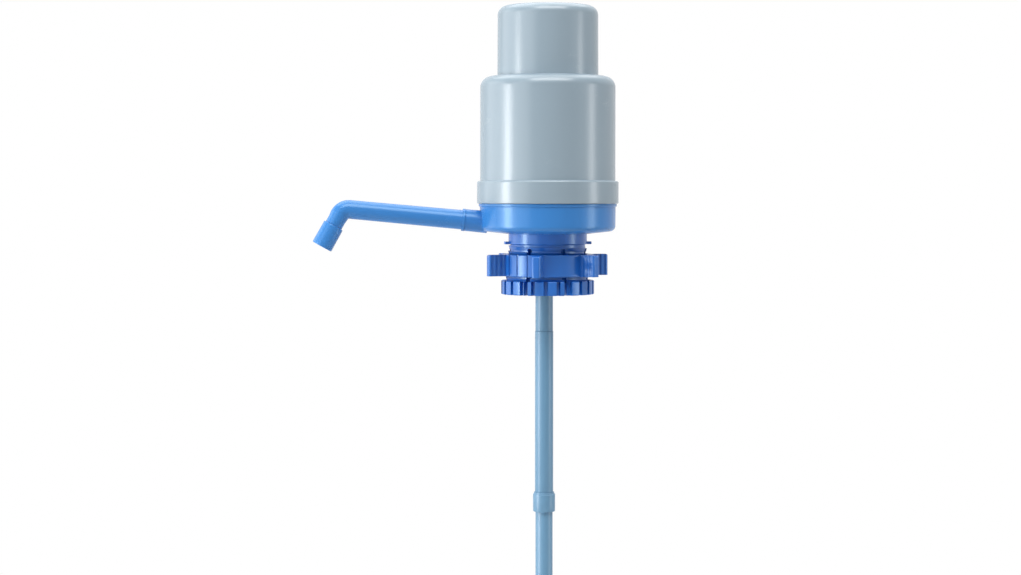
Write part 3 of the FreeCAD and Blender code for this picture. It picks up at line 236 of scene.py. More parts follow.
class TubeSizes(bpy.types.PropertyGroup):
    offset: length("Offset", 3.0, "Distance of the dip tube from the pump's axis")
    riser_radius: length("Riser radius", 7.6, "Outside radius of the riser")
    upper_radius: length("Upper radius", 7.9, "Outside radius of the upper dip tube")
    lower_radius: length("Lower radius", 7.45, "Outside radius of the lower dip tube")
    wall: length("Wall", 1.5, "Wall of both dip tubes")
    coupler_radius: length("Coupler radius", 9.6, "Outside radius of the coupler")
    coupler_collar: length("Coupler collar", 1.6, "Height of the narrower collar on the coupler")
    bore: length("Bore", 4.9, "Bore of the riser")
    flange_radius: length("Flange radius", 11.0, "Radius of the riser's flange")
    flange_height: length("Flange height", 2.0, "Thickness of that flange")
    notch_width: length("Notch width", 4.0, "Width of the notch in the tube's foot")
    notch_height: length("Notch height", 6.0, "Height of that notch")


class ScrewSizes(bpy.types.PropertyGroup):
    deck_count: number("Deck screws", 4, "Screws in the valve deck")
    plate_count: number("Plate screws", 3, "Screws, and bosses in the cap, that hold the bellows plate")
    collet_count: number("Collet screws", 4, "Screws that hold the collet")
    head_radius: length("Head radius", 2.6, "Radius of a screw's head")
    head_height: length("Head height", 2.2, "Height of a screw's head")
    shank_radius: length("Shank radius", 1.6, "Radius of a screw's shank")
    shank_length: length("Shank length", 11.5, "Length of a screw's shank")
    recess_width: length("Recess width", 0.6, "Width of the cross recess")
    recess_length: length("Recess length", 3.0, "Length of the cross recess")


class PumpColours(bpy.types.PropertyGroup):
    grey: tint("Grey plastic", 137, 155, 167, "Cap and housing")
    sky: tint("Sky blue plastic", 51, 122, 193, "Cup, spout and nozzle")
    royal: tint("Royal blue plastic", 29, 98, 184, "Collet and clamp nut")
    tube: tint("Tube plastic", 98, 140, 170, "Riser, dip tubes and coupler")
    white: tint("White plastic", 224, 224, 220, "Plates inside the pump")
    rubber: tint("Rubber", 34, 34, 36, "Bellows, gasket and sealing rings")
    silicone: tint("Silicone", 205, 202, 192, "Valve discs")
    steel: tint("Steel", 176, 177, 180, "Spring and screws")


# ---------------------------------------------------------------- node trees
def both_ways(operation):
    """An operator of Wire and its reflected form; either one adds a Math node."""
    return (lambda wire, other: wire.tree.math(operation, wire, other),
            lambda wire, other: wire.tree.math(operation, other, wire))


class Wire:
    """One output socket of a node; arithmetic on it adds Math nodes."""
    __add__, __radd__ = both_ways("ADD")
    __sub__, __rsub__ = both_ways("SUBTRACT")
    __mul__, __rmul__ = both_ways("MULTIPLY")
    __truediv__, __rtruediv__ = both_ways("DIVIDE")

    def __init__(self, tree, socket):
        self.tree, self.socket = tree, socket

    def other(self, name):
        """Another output of the same node."""
        return Wire(self.tree, self.socket.node.outputs[name])


class Tree:
    """Adds nodes to a shader or geometry tree."""

    def __init__(self, tree):
        self.tree = tree

    def node(self, kind, inputs=None, output=0, **settings):
        """A node whose settings are made first, then the values or links of its sockets."""
        node = self.tree.nodes.new(kind)
        for name, value in settings.items():
            setattr(node, name, value)
        for name, value in (inputs or {}).items():
            if isinstance(value, Wire):
                self.tree.links.new(value.socket, node.inputs[name])
            else:
                node.inputs[name].default_value = value
        return Wire(self, node.outputs[output]) if node.outputs else None

    def math(self, operation, *values):
        return self.node("ShaderNodeMath", dict(enumerate(values)), operation=operation)

    def given(self, title):
        """An input of the group."""
        return self.node("NodeGroupInput", output=title)


def cleared_tree(owner):
    """The node tree of a material or a world, with nothing in it."""
    owner.use_nodes = True
    owner.node_tree.nodes.clear()
    return Tree(owner.node_tree)


# ---------------------------------------------------------------- finishes
# Noise scale and detail of the colour's clouds, the mould's soft waves and the fine grain
CLOUDS, WAVES, GRAINS = (38.0, 3.0), (90.0, 1.0), (1500.0, 2.0)
MIDDLE = 0.5
# Dark side of the colour against its light side, and the share of it that follows the clouds
DARKER, CLOUD_SHARE = 1.6, 0.7
# Changes of gloss with the clouds, as a share of the roughness, and with the grain
CLOUD_GLOSS, GRAIN_GLOSS = 0.05, 0.012
WAVE_STRENGTH, WAVE_HEIGHT, GRAIN_HEIGHT = 0.005, 2 * MM, 0.4 * MM
BLUE_GLOSS = (0.68, 0.9, 1.0, 1.0)

FINISHES = {
    "grey_plastic": dict(colour="grey", rough=0.27, IOR=1.64),
    "sky_plastic": dict(colour="sky", rough=0.27, IOR=1.57, Specular_Tint=BLUE_GLOSS),
    "royal_plastic": dict(colour="royal", rough=0.26, IOR=1.62, Specular_Tint=BLUE_GLOSS),
    "tube_plastic": dict(colour="tube", rough=0.33),
    "white_plastic": dict(colour="white", rough=0.45),
    "black_rubber": dict(colour="rubber", rough=0.62, grain=0.12, fine=0.12),
    "clear_rubber": dict(colour="silicone", rough=0.4, fine=0.05),
    "spring_steel": dict(colour="steel", rough=0.3, Metallic=1.0),
    "screw_steel": dict(colour="steel", rough=0.36, Metallic=1.0),
}
MATERIALS = {}


def finish(name, colour, rough, grain=0.012, fine=0.006, **shader):
    """A moulded or drawn surface: slight colour and gloss changes, fine grain and soft waves."""
    material = bpy.data.materials.new(name)
    tree = cleared_tree(material)
    channels = getattr(bpy.context.scene.pump_colours, colour)
    place = tree.node("ShaderNodeTexCoord", output="Object")
    clouds, waves, grains = (
        tree.node("ShaderNodeTexNoise", {"Vector": place, "Scale": scale, "Detail": detail})
        for scale, detail in (CLOUDS, WAVES, GRAINS))
    dark = (*(channel * (1 - grain * DARKER) for channel in channels), 1)
    light = (*(min(1, channel * (1 + grain)) for channel in channels), 1)
    share = clouds * CLOUD_SHARE + grains * (1 - CLOUD_SHARE)
    mixed = tree.node("ShaderNodeMix", {0: share, 6: dark, 7: light}, 2, data_type="RGBA")
    gloss = rough + (clouds - MIDDLE) * (rough * CLOUD_GLOSS) + (grains - MIDDLE) * GRAIN_GLOSS
    bump = tree.node("ShaderNodeBump", {
        "Height": waves, "Strength": WAVE_STRENGTH, "Distance": WAVE_HEIGHT})
    bump = tree.node("ShaderNodeBump", {
        "Height": grains, "Strength": fine, "Distance": GRAIN_HEIGHT, "Normal": bump})
    inputs = {"Base Color": mixed, "Roughness": gloss, "Normal": bump}
    inputs.update({title.replace("_", " "): value for title, value in shader.items()})
    tree.node("ShaderNodeOutputMaterial", {"Surface": tree.node("ShaderNodeBsdfPrincipled", inputs)})
    return material


def finish_of(slot):
    """The material of a slot, made when it is first asked for."""
    if slot not in MATERIALS:
        MATERIALS[slot] = finish(slot, **FINISHES[slot])
    return MATERIALS[slot]


# ---------------------------------------------------------------- mesh helpers
def rounded(corners, steps=4):
    """Outline of (radius, height[, rounding]) corners in which each rounding is an arc."""
    outline = []
    for i, corner in enumerate(corners):
        here = Vector(corner[:2])
        rounding = corner[2] if len(corner) > 2 else 0
        if not rounding:
            outline.append(tuple(here))
            continue
        back = (Vector(corners[i - 1][:2]) - here).normalized()
        ahead = (Vector(corners[(i + 1) % len(corners)][:2]) - here).normalized()
        half = back.angle(ahead) / 2
        centre = here + (back + ahead).normalized() * (rounding / math.sin(half))
        start = here + back * (rounding / math.tan(half)) - centre
        end = here + ahead * (rounding / math.tan(half)) - centre
        first = math.atan2(start.y, start.x)
        sweep = math.atan2(start.x * end.y - start.y * end.x, start.dot(end))
        for step in range(steps + 1):
            turn = first + sweep * step / steps
            outline.append((centre.x + rounding * math.cos(turn), centre.y + rounding * math.sin(turn)))
    return outline


def smooth(data):
    """Shades a mesh smooth, with its edges sharp over the crease angle."""
    data.polygons.foreach_set("use_smooth", [True] * len(data.polygons))
    data.set_sharp_from_angle(angle=CREASE)


def to_object(name, mesh, place=None):
    """A finished object at the origin from a bmesh."""
    if place is not None:
        bmesh.ops.transform(mesh, matrix=place, verts=mesh.verts)
    bmesh.ops.remove_doubles(mesh, verts=mesh.verts, dist=WELD)
    bmesh.ops.recalc_face_normals(mesh, faces=mesh.faces)
    data = bpy.data.meshes.new(name)
    mesh.to_mesh(data)
    mesh.free()
    smooth(data)
    piece = bpy.data.objects.new(name, data)
    bpy.context.scene.collection.objects.link(piece)
    return piece


def loft(rows, closed=False, capped=False):
    """A bmesh that joins each row of places to the next one; a row of one place is a tip."""
    mesh = bmesh.new()
    rows = [[mesh.verts.new(place) for place in row] for row in rows]
    sides = max(len(row) for row in rows)
    for low, high in zip(rows, rows[1:] + (rows[:1] if closed else [])):
        for i in range(sides):
            j = (i + 1) % sides
            corners = (low[i % len(low)], low[j % len(low)], high[j % len(high)], high[i % len(high)])
            unique = list(dict.fromkeys(corners))
            if len(unique) > 2:
                mesh.faces.new(unique)
    if capped:
        mesh.faces.new(rows[0][::-1])
        mesh.faces.new(rows[-1])
    return mesh


def lathe(name, corners, sides=SIDES, steps=4, place=None):
    """A piece turned round Z from its corners; off the axis its ends meet and it is a ring."""
    rows = []
    for radius, height in rounded(corners, steps):
        turns = [TAU * i / sides for i in range(sides)] if radius > WELD else [0]
        rows.append([(radius * math.cos(turn), radius * math.sin(turn), height) for turn in turns])
    closed = len(rows[0]) > 1 and len(rows[-1]) > 1
    return to_object(name, loft(rows, closed), place)


def rod(name, radius, low, high, sides, place):
    """A plain round rod between two heights, to drill with."""
    return lathe(name, [(0, low), (radius, low), (radius, high), (0, high)], sides, place=place)


def plate(name, corners, low, high, steps=4, place=None):
    """A piece of flat (x, y[, rounding]) corners, drawn up from low to high."""
    outline = rounded(corners, steps)
    rows = [[(x, y, height) for x, y in outline] for height in (low, high)]
    return to_object(name, loft(rows, capped=True), place)


def block(name, place, size):
    """A box of three sizes round a place, to cut with."""
    mesh = bmesh.new()
    bmesh.ops.create_cube(mesh, size=1)
    return to_object(name, mesh, place @ Matrix.Diagonal((*size, 1)))


def apply_modifiers(piece):
    """Turns a piece's modifiers into its own mesh."""
    data = bpy.data.meshes.new_from_object(piece.evaluated_get(bpy.context.evaluated_depsgraph_get()))
    piece.modifiers.clear()
    old = piece.data
    piece.data = data
    bpy.data.meshes.remove(old)
    return piece


def combine(piece, tool, operation="DIFFERENCE"):
    """Cuts a tool out of a piece, or joins it on, and deletes the tool."""
    modifier = piece.modifiers.new("combine", "BOOLEAN")
    modifier.operation = operation
    modifier.solver = "EXACT"
    modifier.object = tool
    apply_modifiers(piece)
    bpy.data.objects.remove(tool)
    smooth(piece.data)


def paint(piece, slot):
    """Gives a piece its finish and the name of that finish's slot."""
    piece.data.materials.clear()
    piece.data.materials.append(finish_of(slot))


def dress(piece, slot, body, *nodes):
    """Gives a piece its finish, its body and the construction nodes it stands for."""
    paint(piece, slot)
    piece.data.polygons.foreach_set("material_index", [0] * len(piece.data.polygons))
    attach(piece, body)
    if nodes:
        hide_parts(*nodes)


def foot_of(node):
    """Height of a construction node's underside."""
    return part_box(node)[0][2]


def top_of(node):
    """Height of a construction node's top."""
    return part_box(node)[1][2]


class PumpOperator:
    """What every operator of the pump shares."""
    bl_options = {"REGISTER", "UNDO"}


# ---------------------------------------------------------------- repeats made by nodes
def node_group(name, **inputs):
    """A geometry node group with named inputs, whose titles are listed under their kinds."""
    group = bpy.data.node_groups.new(name, "GeometryNodeTree")
    group.interface.new_socket(name="Geometry", in_out="OUTPUT", socket_type="NodeSocketGeometry")
    for kind, titles in {**inputs, "Material": ["Material"]}.items():
        for title in titles:
            group.interface.new_socket(name=title, in_out="INPUT", socket_type="NodeSocket" + kind)
    return group, Tree(group)


def deliver(tree, geometry):
    """Makes a group's geometry real, gives it the material and sends it out."""
    real = tree.node("GeometryNodeRealizeInstances", {"Geometry": geometry})
    painted = tree.node("GeometryNodeSetMaterial", {"Geometry": real, "Material": tree.given("Material")})
    tree.node("NodeGroupOutput", {"Geometry": painted})


def deliver_swept(tree, path, section, turn=0.0):
    """Sends out a section swept along a path, turned round Z and lifted to the Low input."""
    swept = tree.node("GeometryNodeCurveToMesh", {
        "Curve": path, "Profile Curve": section, "Fill Caps": True})
    lift = tree.node("ShaderNodeCombineXYZ", {"Z": tree.given("Low")})
    deliver(tree, tree.node("GeometryNodeTransform", {
        "Geometry": swept, "Translation": lift, "Rotation": (0, 0, turn)}))


def ring_group():
    """Repeats a source object in a ring round Z, each one turned a little at random if asked."""
    if "ring_of_pieces" in bpy.data.node_groups:
        return bpy.data.node_groups["ring_of_pieces"]
    group, tree = node_group("ring_of_pieces", Object=["Source"], Int=["Count", "Seed"],
                             Float=["First Angle", "Radius", "Height", "Twist"])
    given = tree.given
    turn = given("First Angle") + tree.node("GeometryNodeInputIndex") * TAU / given("Count")
    across, along = (tree.math(wave, turn) * given("Radius") for wave in ("COSINE", "SINE"))
    place = tree.node("ShaderNodeCombineXYZ", {"X": across, "Y": along, "Z": given("Height")})
    points = tree.node("GeometryNodePoints", {"Count": given("Count"), "Position": place})
    twist = tree.node("FunctionNodeRandomValue", {
        2: given("Twist") * -1.0, 3: given("Twist"), "Seed": given("Seed")}, 1, data_type="FLOAT")
    facing = tree.node("ShaderNodeCombineXYZ", {"Z": turn + twist})
    source = tree.node("GeometryNodeObjectInfo", {"Object": given("Source")}, "Geometry",
                       transform_space="ORIGINAL")
    deliver(tree, tree.node("GeometryNodeInstanceOnPoints", {
        "Points": points, "Instance": source, "Rotation": facing}))
    return group


def thread_group():
    """A ridge of trapezoid section that winds up a cone."""
    group, tree = node_group("cone_thread", Float=[
        "Low Radius", "High Radius", "Low", "Height", "Pitch", "Depth", "Root Width", "Crest Width"])
    given = tree.given
    path = tree.node("GeometryNodeCurveSpiral", {
        "Resolution": THREAD_POINTS, "Rotations": given("Height") / given("Pitch"),
        "Height": given("Height"), "Start Radius": given("Low Radius"), "End Radius": given("High Radius")})
    steady = tree.node("GeometryNodeSetCurveNormal", {"Curve": path}, mode="Z_UP")
    section = tree.node("GeometryNodeCurvePrimitiveQuadrilateral", {
        "Height": given("Depth") * 2.0, "Bottom Width": given("Root Width"),
        "Top Width": given("Crest Width"), "Offset": 0.0}, mode="TRAPEZOID")
    deliver_swept(tree, steady, section)
    return group


def spring_group():
    """A round wire wound into a coil of one radius."""
    group, tree = node_group("coil_spring", Float=["Radius", "Wire", "Turns", "Low", "Height"])
    given = tree.given
    path = tree.node("GeometryNodeCurveSpiral", {
        "Resolution": COIL_POINTS, "Rotations": given("Turns"), "Height": given("Height"),
        "Start Radius": given("Radius"), "End Radius": given("Radius"), "Reverse": True})
    section = tree.node("GeometryNodeCurvePrimitiveCircle", {
        "Resolution": WIRE_SIDES, "Radius": given("Wire")})
    deliver_swept(tree, path, section, -math.pi / 2)
    return group


def made_by(group, name, slot, **values):
    """A finished object from a node group; the values are named after the group's inputs."""
    piece = bpy.data.objects.new(name, bpy.data.meshes.new(name))
    bpy.context.scene.collection.objects.link(piece)
    modifier = piece.modifiers.new(name, "NODES")
    modifier.node_group = group
    values["Material"] = finish_of(slot)
    for socket in group.interface.items_tree:
        if socket.in_out == "INPUT":
            modifier[socket.identifier] = values[socket.name.replace(" ", "_")]
    return apply_modifiers(piece)


def ring_of(name, slot, source, count, first=0.0, radius=0.0, height=0.0, twist=0.0):
    """A source repeated in a ring round Z; the source is used up."""
    ring = made_by(ring_group(), name, slot, Source=source, Count=count, First_Angle=first,
                   Radius=radius, Height=height, Twist=twist, Seed=TWIST_SEED)
    bpy.data.objects.remove(source)
    return ring


# ---------------------------------------------------------------- cap, housing, bellows
class PUMP_OT_push_cap(PumpOperator, bpy.types.Operator):
    """Makes the domed push cap with its stop flange and the bosses for the bellows plate"""
    bl_idname = "pump.push_cap"
    bl_label = "Push Cap"

    def execute(self, context):
        sizes = context.scene.pump_head
        top, wall = top_of("push_cap"), sizes.cap_wall
        ledge = top_of("outer_housing") - sizes.collar_depth - sizes.collar_gap
        foot = ledge - sizes.cap_stop_height
        radius, flange = sizes.cap_radius - sizes.cap_taper, sizes.cap_radius + sizes.cap_stop
        crown = radius - sizes.cap_edge
        reaches = [crown * i / DOME_STEPS for i in range(DOME_STEPS + 1)]
        dome = [(reach, top - sizes.cap_dome * (reach / radius) ** 2) for reach in reaches]
        brow = dome[-1][1]
        cap = lathe("push_cap_shell", dome + [
            (radius, brow, sizes.cap_edge), (sizes.cap_radius, ledge, CRISP), (flange, ledge, SOFT),
            (flange, foot, SOFT), (sizes.cap_radius - wall, foot, EASED),
            (radius - wall, brow - wall, sizes.cap_edge - wall), (0, brow - wall)], steps=12)
        dress(cap, "grey_plastic", "cap", "push_cap")
        low, high = top_of("bellows_plate"), top - BOSS_ROOT
        bore, outside = sizes.boss_bore, sizes.boss_radius
        boss = lathe("boss", [(bore, low), (outside, low, CRISP), (outside, high), (bore, high)],
                     BOSS_SIDES, steps=7)
        count = context.scene.pump_screws.plate_count
        bosses = ring_of("cap_bosses", "grey_plastic", boss, count, radius=sizes.boss_ring)
        dress(bosses, "grey_plastic", "cap")
        return {"FINISHED"}


class PUMP_OT_outer_housing(PumpOperator, bpy.types.Operator):
    """Makes the round-shouldered housing with the bead at its foot and the collar round the cap"""
    bl_idname = "pump.outer_housing"
    bl_label = "Outer Housing"

    def execute(self, context):
        sizes = context.scene.pump_head
        foot, top = foot_of("outer_housing"), top_of("outer_housing")
        radius, wall, shoulder = sizes.housing_radius, sizes.housing_wall, sizes.housing_shoulder
        collar, collar_foot = sizes.cap_radius + sizes.collar_gap, top - sizes.collar_depth
        bead, bead_top, edge = sizes.bead_radius, foot + sizes.bead_height, sizes.bead_edge
        draft, foot_edge, collar_edge = 0.1 * MM, 0.6 * edge, 0.7 * MM
        housing = lathe("housing_shell", [
            (radius - wall, foot, TRIMMED), (bead, foot, foot_edge), (bead, bead_top, edge),
            (radius + draft, bead_top, SOFT), (radius, top, shoulder), (collar, top, collar_edge),
            (collar, collar_foot, CRISP), (collar + wall, collar_foot, CRISP), (collar + wall, top - wall),
            (radius - wall, top - wall, shoulder - wall)], steps=12)
        dress(housing, "grey_plastic", "pump_base", "outer_housing")
        return {"FINISHED"}


def squeeze(piece, low, high):
    """Gives a piece a mesh of its own."""
    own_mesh(piece)


class PUMP_OT_bellows(PumpOperator, bpy.types.Operator):
    """Makes the rubber bellows and the return spring"""
    bl_idname = "pump.bellows"
    bl_label = "Bellows And Spring"

    def execute(self, context):
        sizes = context.scene.pump_bellows
        low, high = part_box("bellows")
        foot, top, reach = low[2], high[2], high[0]
        plate_low, plate_high = foot_of("bellows_plate") + sizes.plate_edge, top_of("bellows_plate")
        first, last = foot_of("bellows_clamp_ring"), plate_low - sizes.rim_height
        pitch = (last - first) / sizes.fold_count
        thin, bend_out, bend_in = sizes.valley - sizes.rubber, 1.6 * MM, 1.0 * MM
        outer, inner = [(thin, foot), (reach, foot), (reach, first, CRISP)], []
        for fold in range(sizes.fold_count):
            base, middle = first + pitch * fold, first + pitch * (fold + 0.5)
            outer += [(sizes.valley, base, bend_out), (sizes.crest, middle, bend_out)]
            inner += [(thin, base, bend_in), (sizes.crest - sizes.rubber, middle, bend_in)]
        outer += [(sizes.valley, last), (thin, last)]
        folds = lathe("bellows_folds", outer + inner[:0:-1], TUBE_SIDES)
        dress(folds, "black_rubber", "pump_base", "bellows")
        squeeze(folds, first, last)
        over, under = plate_high + RUBBER_GAP, plate_low - RUBBER_GAP
        rim = lathe("bellows_rim", [
            (thin, last), (sizes.rim, last, FULL), (sizes.rim, top, FULL), (sizes.lip, top, CRISP),
            (sizes.lip, over), (sizes.groove, over), (sizes.groove, under), (thin, under)], TUBE_SIDES)
        dress(rim, "black_rubber", "cap")
        wire, foot, top = sizes.wire_radius, foot_of("return_spring"), top_of("return_spring")
        coil = made_by(spring_group(), "spring_coil", "spring_steel", Radius=sizes.coil_radius, Wire=wire,
                       Turns=float(sizes.turn_count), Low=foot + wire, Height=top - foot - 2 * wire)
        dress(coil, "spring_steel", "pump_base", "return_spring")
        squeeze(coil, top_of("valve_deck") - sizes.spring_seat, plate_low)
        return {"FINISHED"}


# ---------------------------------------------------------------- cup and spout
def turned_to(place, direction):
    """Matrix that moves to a place and turns Z to a direction."""
    return Matrix.Translation(place) @ direction.to_track_quat("Z", "Y").to_matrix().to_4x4()


def outward(slope):
    """Direction away from the pump on the spout's side, climbing by an angle."""
    return Vector((-math.cos(slope), 0, math.sin(slope)))


def spout_axis(sizes):
    """Matrix whose Z runs out along the spout from the sleeve's mouth."""
    return turned_to((-sizes.mouth_reach, 0, sizes.mouth_height), outward(sizes.rise))


def nozzle_axis(sizes):
    """Matrix whose Z runs down the nozzle from the elbow's corner."""
    corner = spout_axis(sizes) @ Vector((0, 0, sizes.straight))
    return turned_to(corner, outward(sizes.rise - sizes.turn))


class PUMP_OT_base_cup(PumpOperator, bpy.types.Operator):
    """Makes the cup with its lip, the sleeve for the spout and the duct to the riser"""
    bl_idname = "pump.base_cup"
    bl_label = "Base Cup"

    def execute(self, context):
        sizes, spout = context.scene.pump_cup, context.scene.pump_spout
        under, top, spigot_top = top_of("neck_collet"), foot_of("outer_housing"), top_of("base_cup")
        shelf, shelf_low = sizes.spigot_in - sizes.shelf, top - sizes.shelf_height
        rise, floor, lip_low = under + sizes.cone_rise, under + sizes.floor, top - sizes.lip_height
        radius, inside, lip = sizes.wall_radius, sizes.wall_radius - sizes.wall, sizes.lip_radius
        draft, cone_edge = 0.2 * MM, 6 * MM
        cup = lathe("cup_shell", [
            (0, under), (sizes.cone_radius, under, cone_edge), (radius - draft, rise, sizes.corner),
            (radius, lip_low, EASED), (lip, lip_low, SOFT), (lip, top, SOFT), (sizes.spigot_out, top),
            (sizes.spigot_out, spigot_top, EASED), (sizes.spigot_in, spigot_top, EASED),
            (sizes.spigot_in, top), (shelf, top), (shelf, shelf_low), (inside, shelf_low),
            (inside, rise + sizes.wall, sizes.corner - sizes.wall), (sizes.cone_radius, floor),
            (0, floor)], steps=9)
        mouth, root, sleeve_draft = spout_axis(spout), -sizes.sleeve_root, 0.25 * MM
        outside, rim_root = sizes.sleeve_radius, -sizes.sleeve_rim_length
        rim = outside + sizes.sleeve_rim
        bore, seat = spout.spigot_radius + FIT, -spout.spigot_length
        sleeve = lathe("sleeve", [
            (0, root), (outside + sleeve_draft, root), (outside, rim_root, CRISP), (rim, rim_root, CRISP),
            (rim, 0, EASED), (bore, 0, TRIMMED), (bore, seat), (0, seat)], TUBE_SIDES, place=mouth)
        combine(cup, sleeve, "UNION")
        combine(cup, rod("drill", bore, seat - TRIMMED, 2 * PAST, TUBE_SIDES, mouth))
        dress(cup, "sky_plastic", "pump_base", "base_cup")
        end = (context.scene.pump_tubes.offset - spout.mouth_reach) / math.cos(spout.rise)
        duct = lathe("cup_duct", [(sizes.duct_in, end), (sizes.duct_out, end), (sizes.duct_out, root),
                                  (sizes.duct_in, root)], DUCT_SIDES, place=mouth)
        dress(duct, "sky_plastic", "pump_base")
        return {"FINISHED"}


def elbow_ends(sizes):
    """Distances along the spout's centre line at which the elbow starts and ends."""
    start = sizes.straight - sizes.elbow * math.tan(sizes.turn / 2)
    return start, start + sizes.elbow * sizes.turn


def pipe_rings(sizes, start, end, radius_at):
    """Rings of places round the spout's centre line, between two distances along it."""
    bend, bend_end = elbow_ends(sizes)
    stations = [start, start + EASED]
    stretches = (0, bend, PIPE_STEPS), (bend, bend_end, ELBOW_STEPS), (bend_end, end, STEM_STEPS)
    for first, last, count in stretches:
        stations += [first + (last - first) * i / count for i in range(1, count + 1)]
    mouth, side = Vector((-sizes.mouth_reach, 0, sizes.mouth_height)), Vector((0, 1, 0))
    ahead = outward(sizes.rise)
    down = ahead.cross(side)
    turns = [TAU * i / PIPE_SIDES for i in range(PIPE_SIDES)]
    rings = []
    for station in stations:
        turned = min(max(station - bend, 0) / sizes.elbow, sizes.turn)
        way = ahead * math.cos(turned) + down * math.sin(turned)
        centre = mouth + way * max(station - bend_end, 0)
        centre += ahead * (min(station, bend) + sizes.elbow * math.sin(turned))
        centre += down * (sizes.elbow * (1 - math.cos(turned)))
        below, radius = way.cross(side), radius_at(station)
        rings.append([centre + side * (radius * math.cos(turn)) + below * (radius * math.sin(turn))
                      for turn in turns])
    return rings


class PUMP_OT_spout(PumpOperator, bpy.types.Operator):
    """Makes the tapered spout with its elbow, its spigot and the nozzle on its end"""
    bl_idname = "pump.spout"
    bl_label = "Spout And Nozzle"

    def execute(self, context):
        sizes = context.scene.pump_spout
        bend, bend_end = elbow_ends(sizes)
        pipe_start, spigot_end, seat_gap = 0.1 * MM, 0.2 * MM, 0.25 * MM
        stem_start = bend_end + 1.5 * MM
        nozzle_seat = sizes.nozzle_start + sizes.nozzle_seat
        end = bend_end + nozzle_seat - seat_gap - (sizes.straight - bend)

        def outside(station):
            """Outside radius of the spout at a distance along it."""
            if station > stem_start:
                return sizes.stem_radius
            return sizes.root_radius + (sizes.end_radius - sizes.root_radius) * min(station / bend, 1)

        rings_out = pipe_rings(sizes, pipe_start, end, outside)
        rings_in = pipe_rings(sizes, pipe_start, end, lambda station: sizes.bore)
        pipe = to_object("spout_pipe", loft(rings_out + rings_in[::-1], closed=True))
        dress(pipe, "sky_plastic", "spout", "spout_tube")
        foot, radius, bore = -sizes.spigot_length, sizes.spigot_radius, sizes.bore
        groove, groove_low = sizes.ring_groove, -sizes.ring_place - sizes.ring_width / 2
        groove_high = groove_low + sizes.ring_width
        spigot = lathe("spout_spigot", [
            (bore, foot), (radius, foot, SOFT), (radius, groove_low), (groove, groove_low),
            (groove, groove_high), (radius, groove_high), (radius, spigot_end), (bore, spigot_end)],
            PIPE_SIDES, place=spout_axis(sizes))
        dress(spigot, "sky_plastic", "spout")
        start, end = sizes.nozzle_start, sizes.nozzle_start + sizes.nozzle_length
        stem, draft, nozzle_edge = sizes.stem_radius + FIT, 0.2 * MM, 0.7 * MM
        nozzle = lathe("nozzle_sleeve", [
            (stem, start, TRIMMED), (sizes.nozzle_radius - draft, start, nozzle_edge),
            (sizes.nozzle_radius, end, nozzle_edge), (bore, end, EASED), (bore, nozzle_seat),
            (stem, nozzle_seat)], TUBE_SIDES, steps=5, place=nozzle_axis(sizes))
        dress(nozzle, "sky_plastic", "spout", "spout_nozzle")
        return {"FINISHED"}


# ---------------------------------------------------------------- collet and nut
def cone_at(sizes, height):
    """Radius of the collet's cone at a height."""
    share = (height - sizes.flange_height) / (sizes.cone_end - sizes.flange_height)
    return sizes.cone_low + (sizes.cone_top - sizes.cone_low) * share


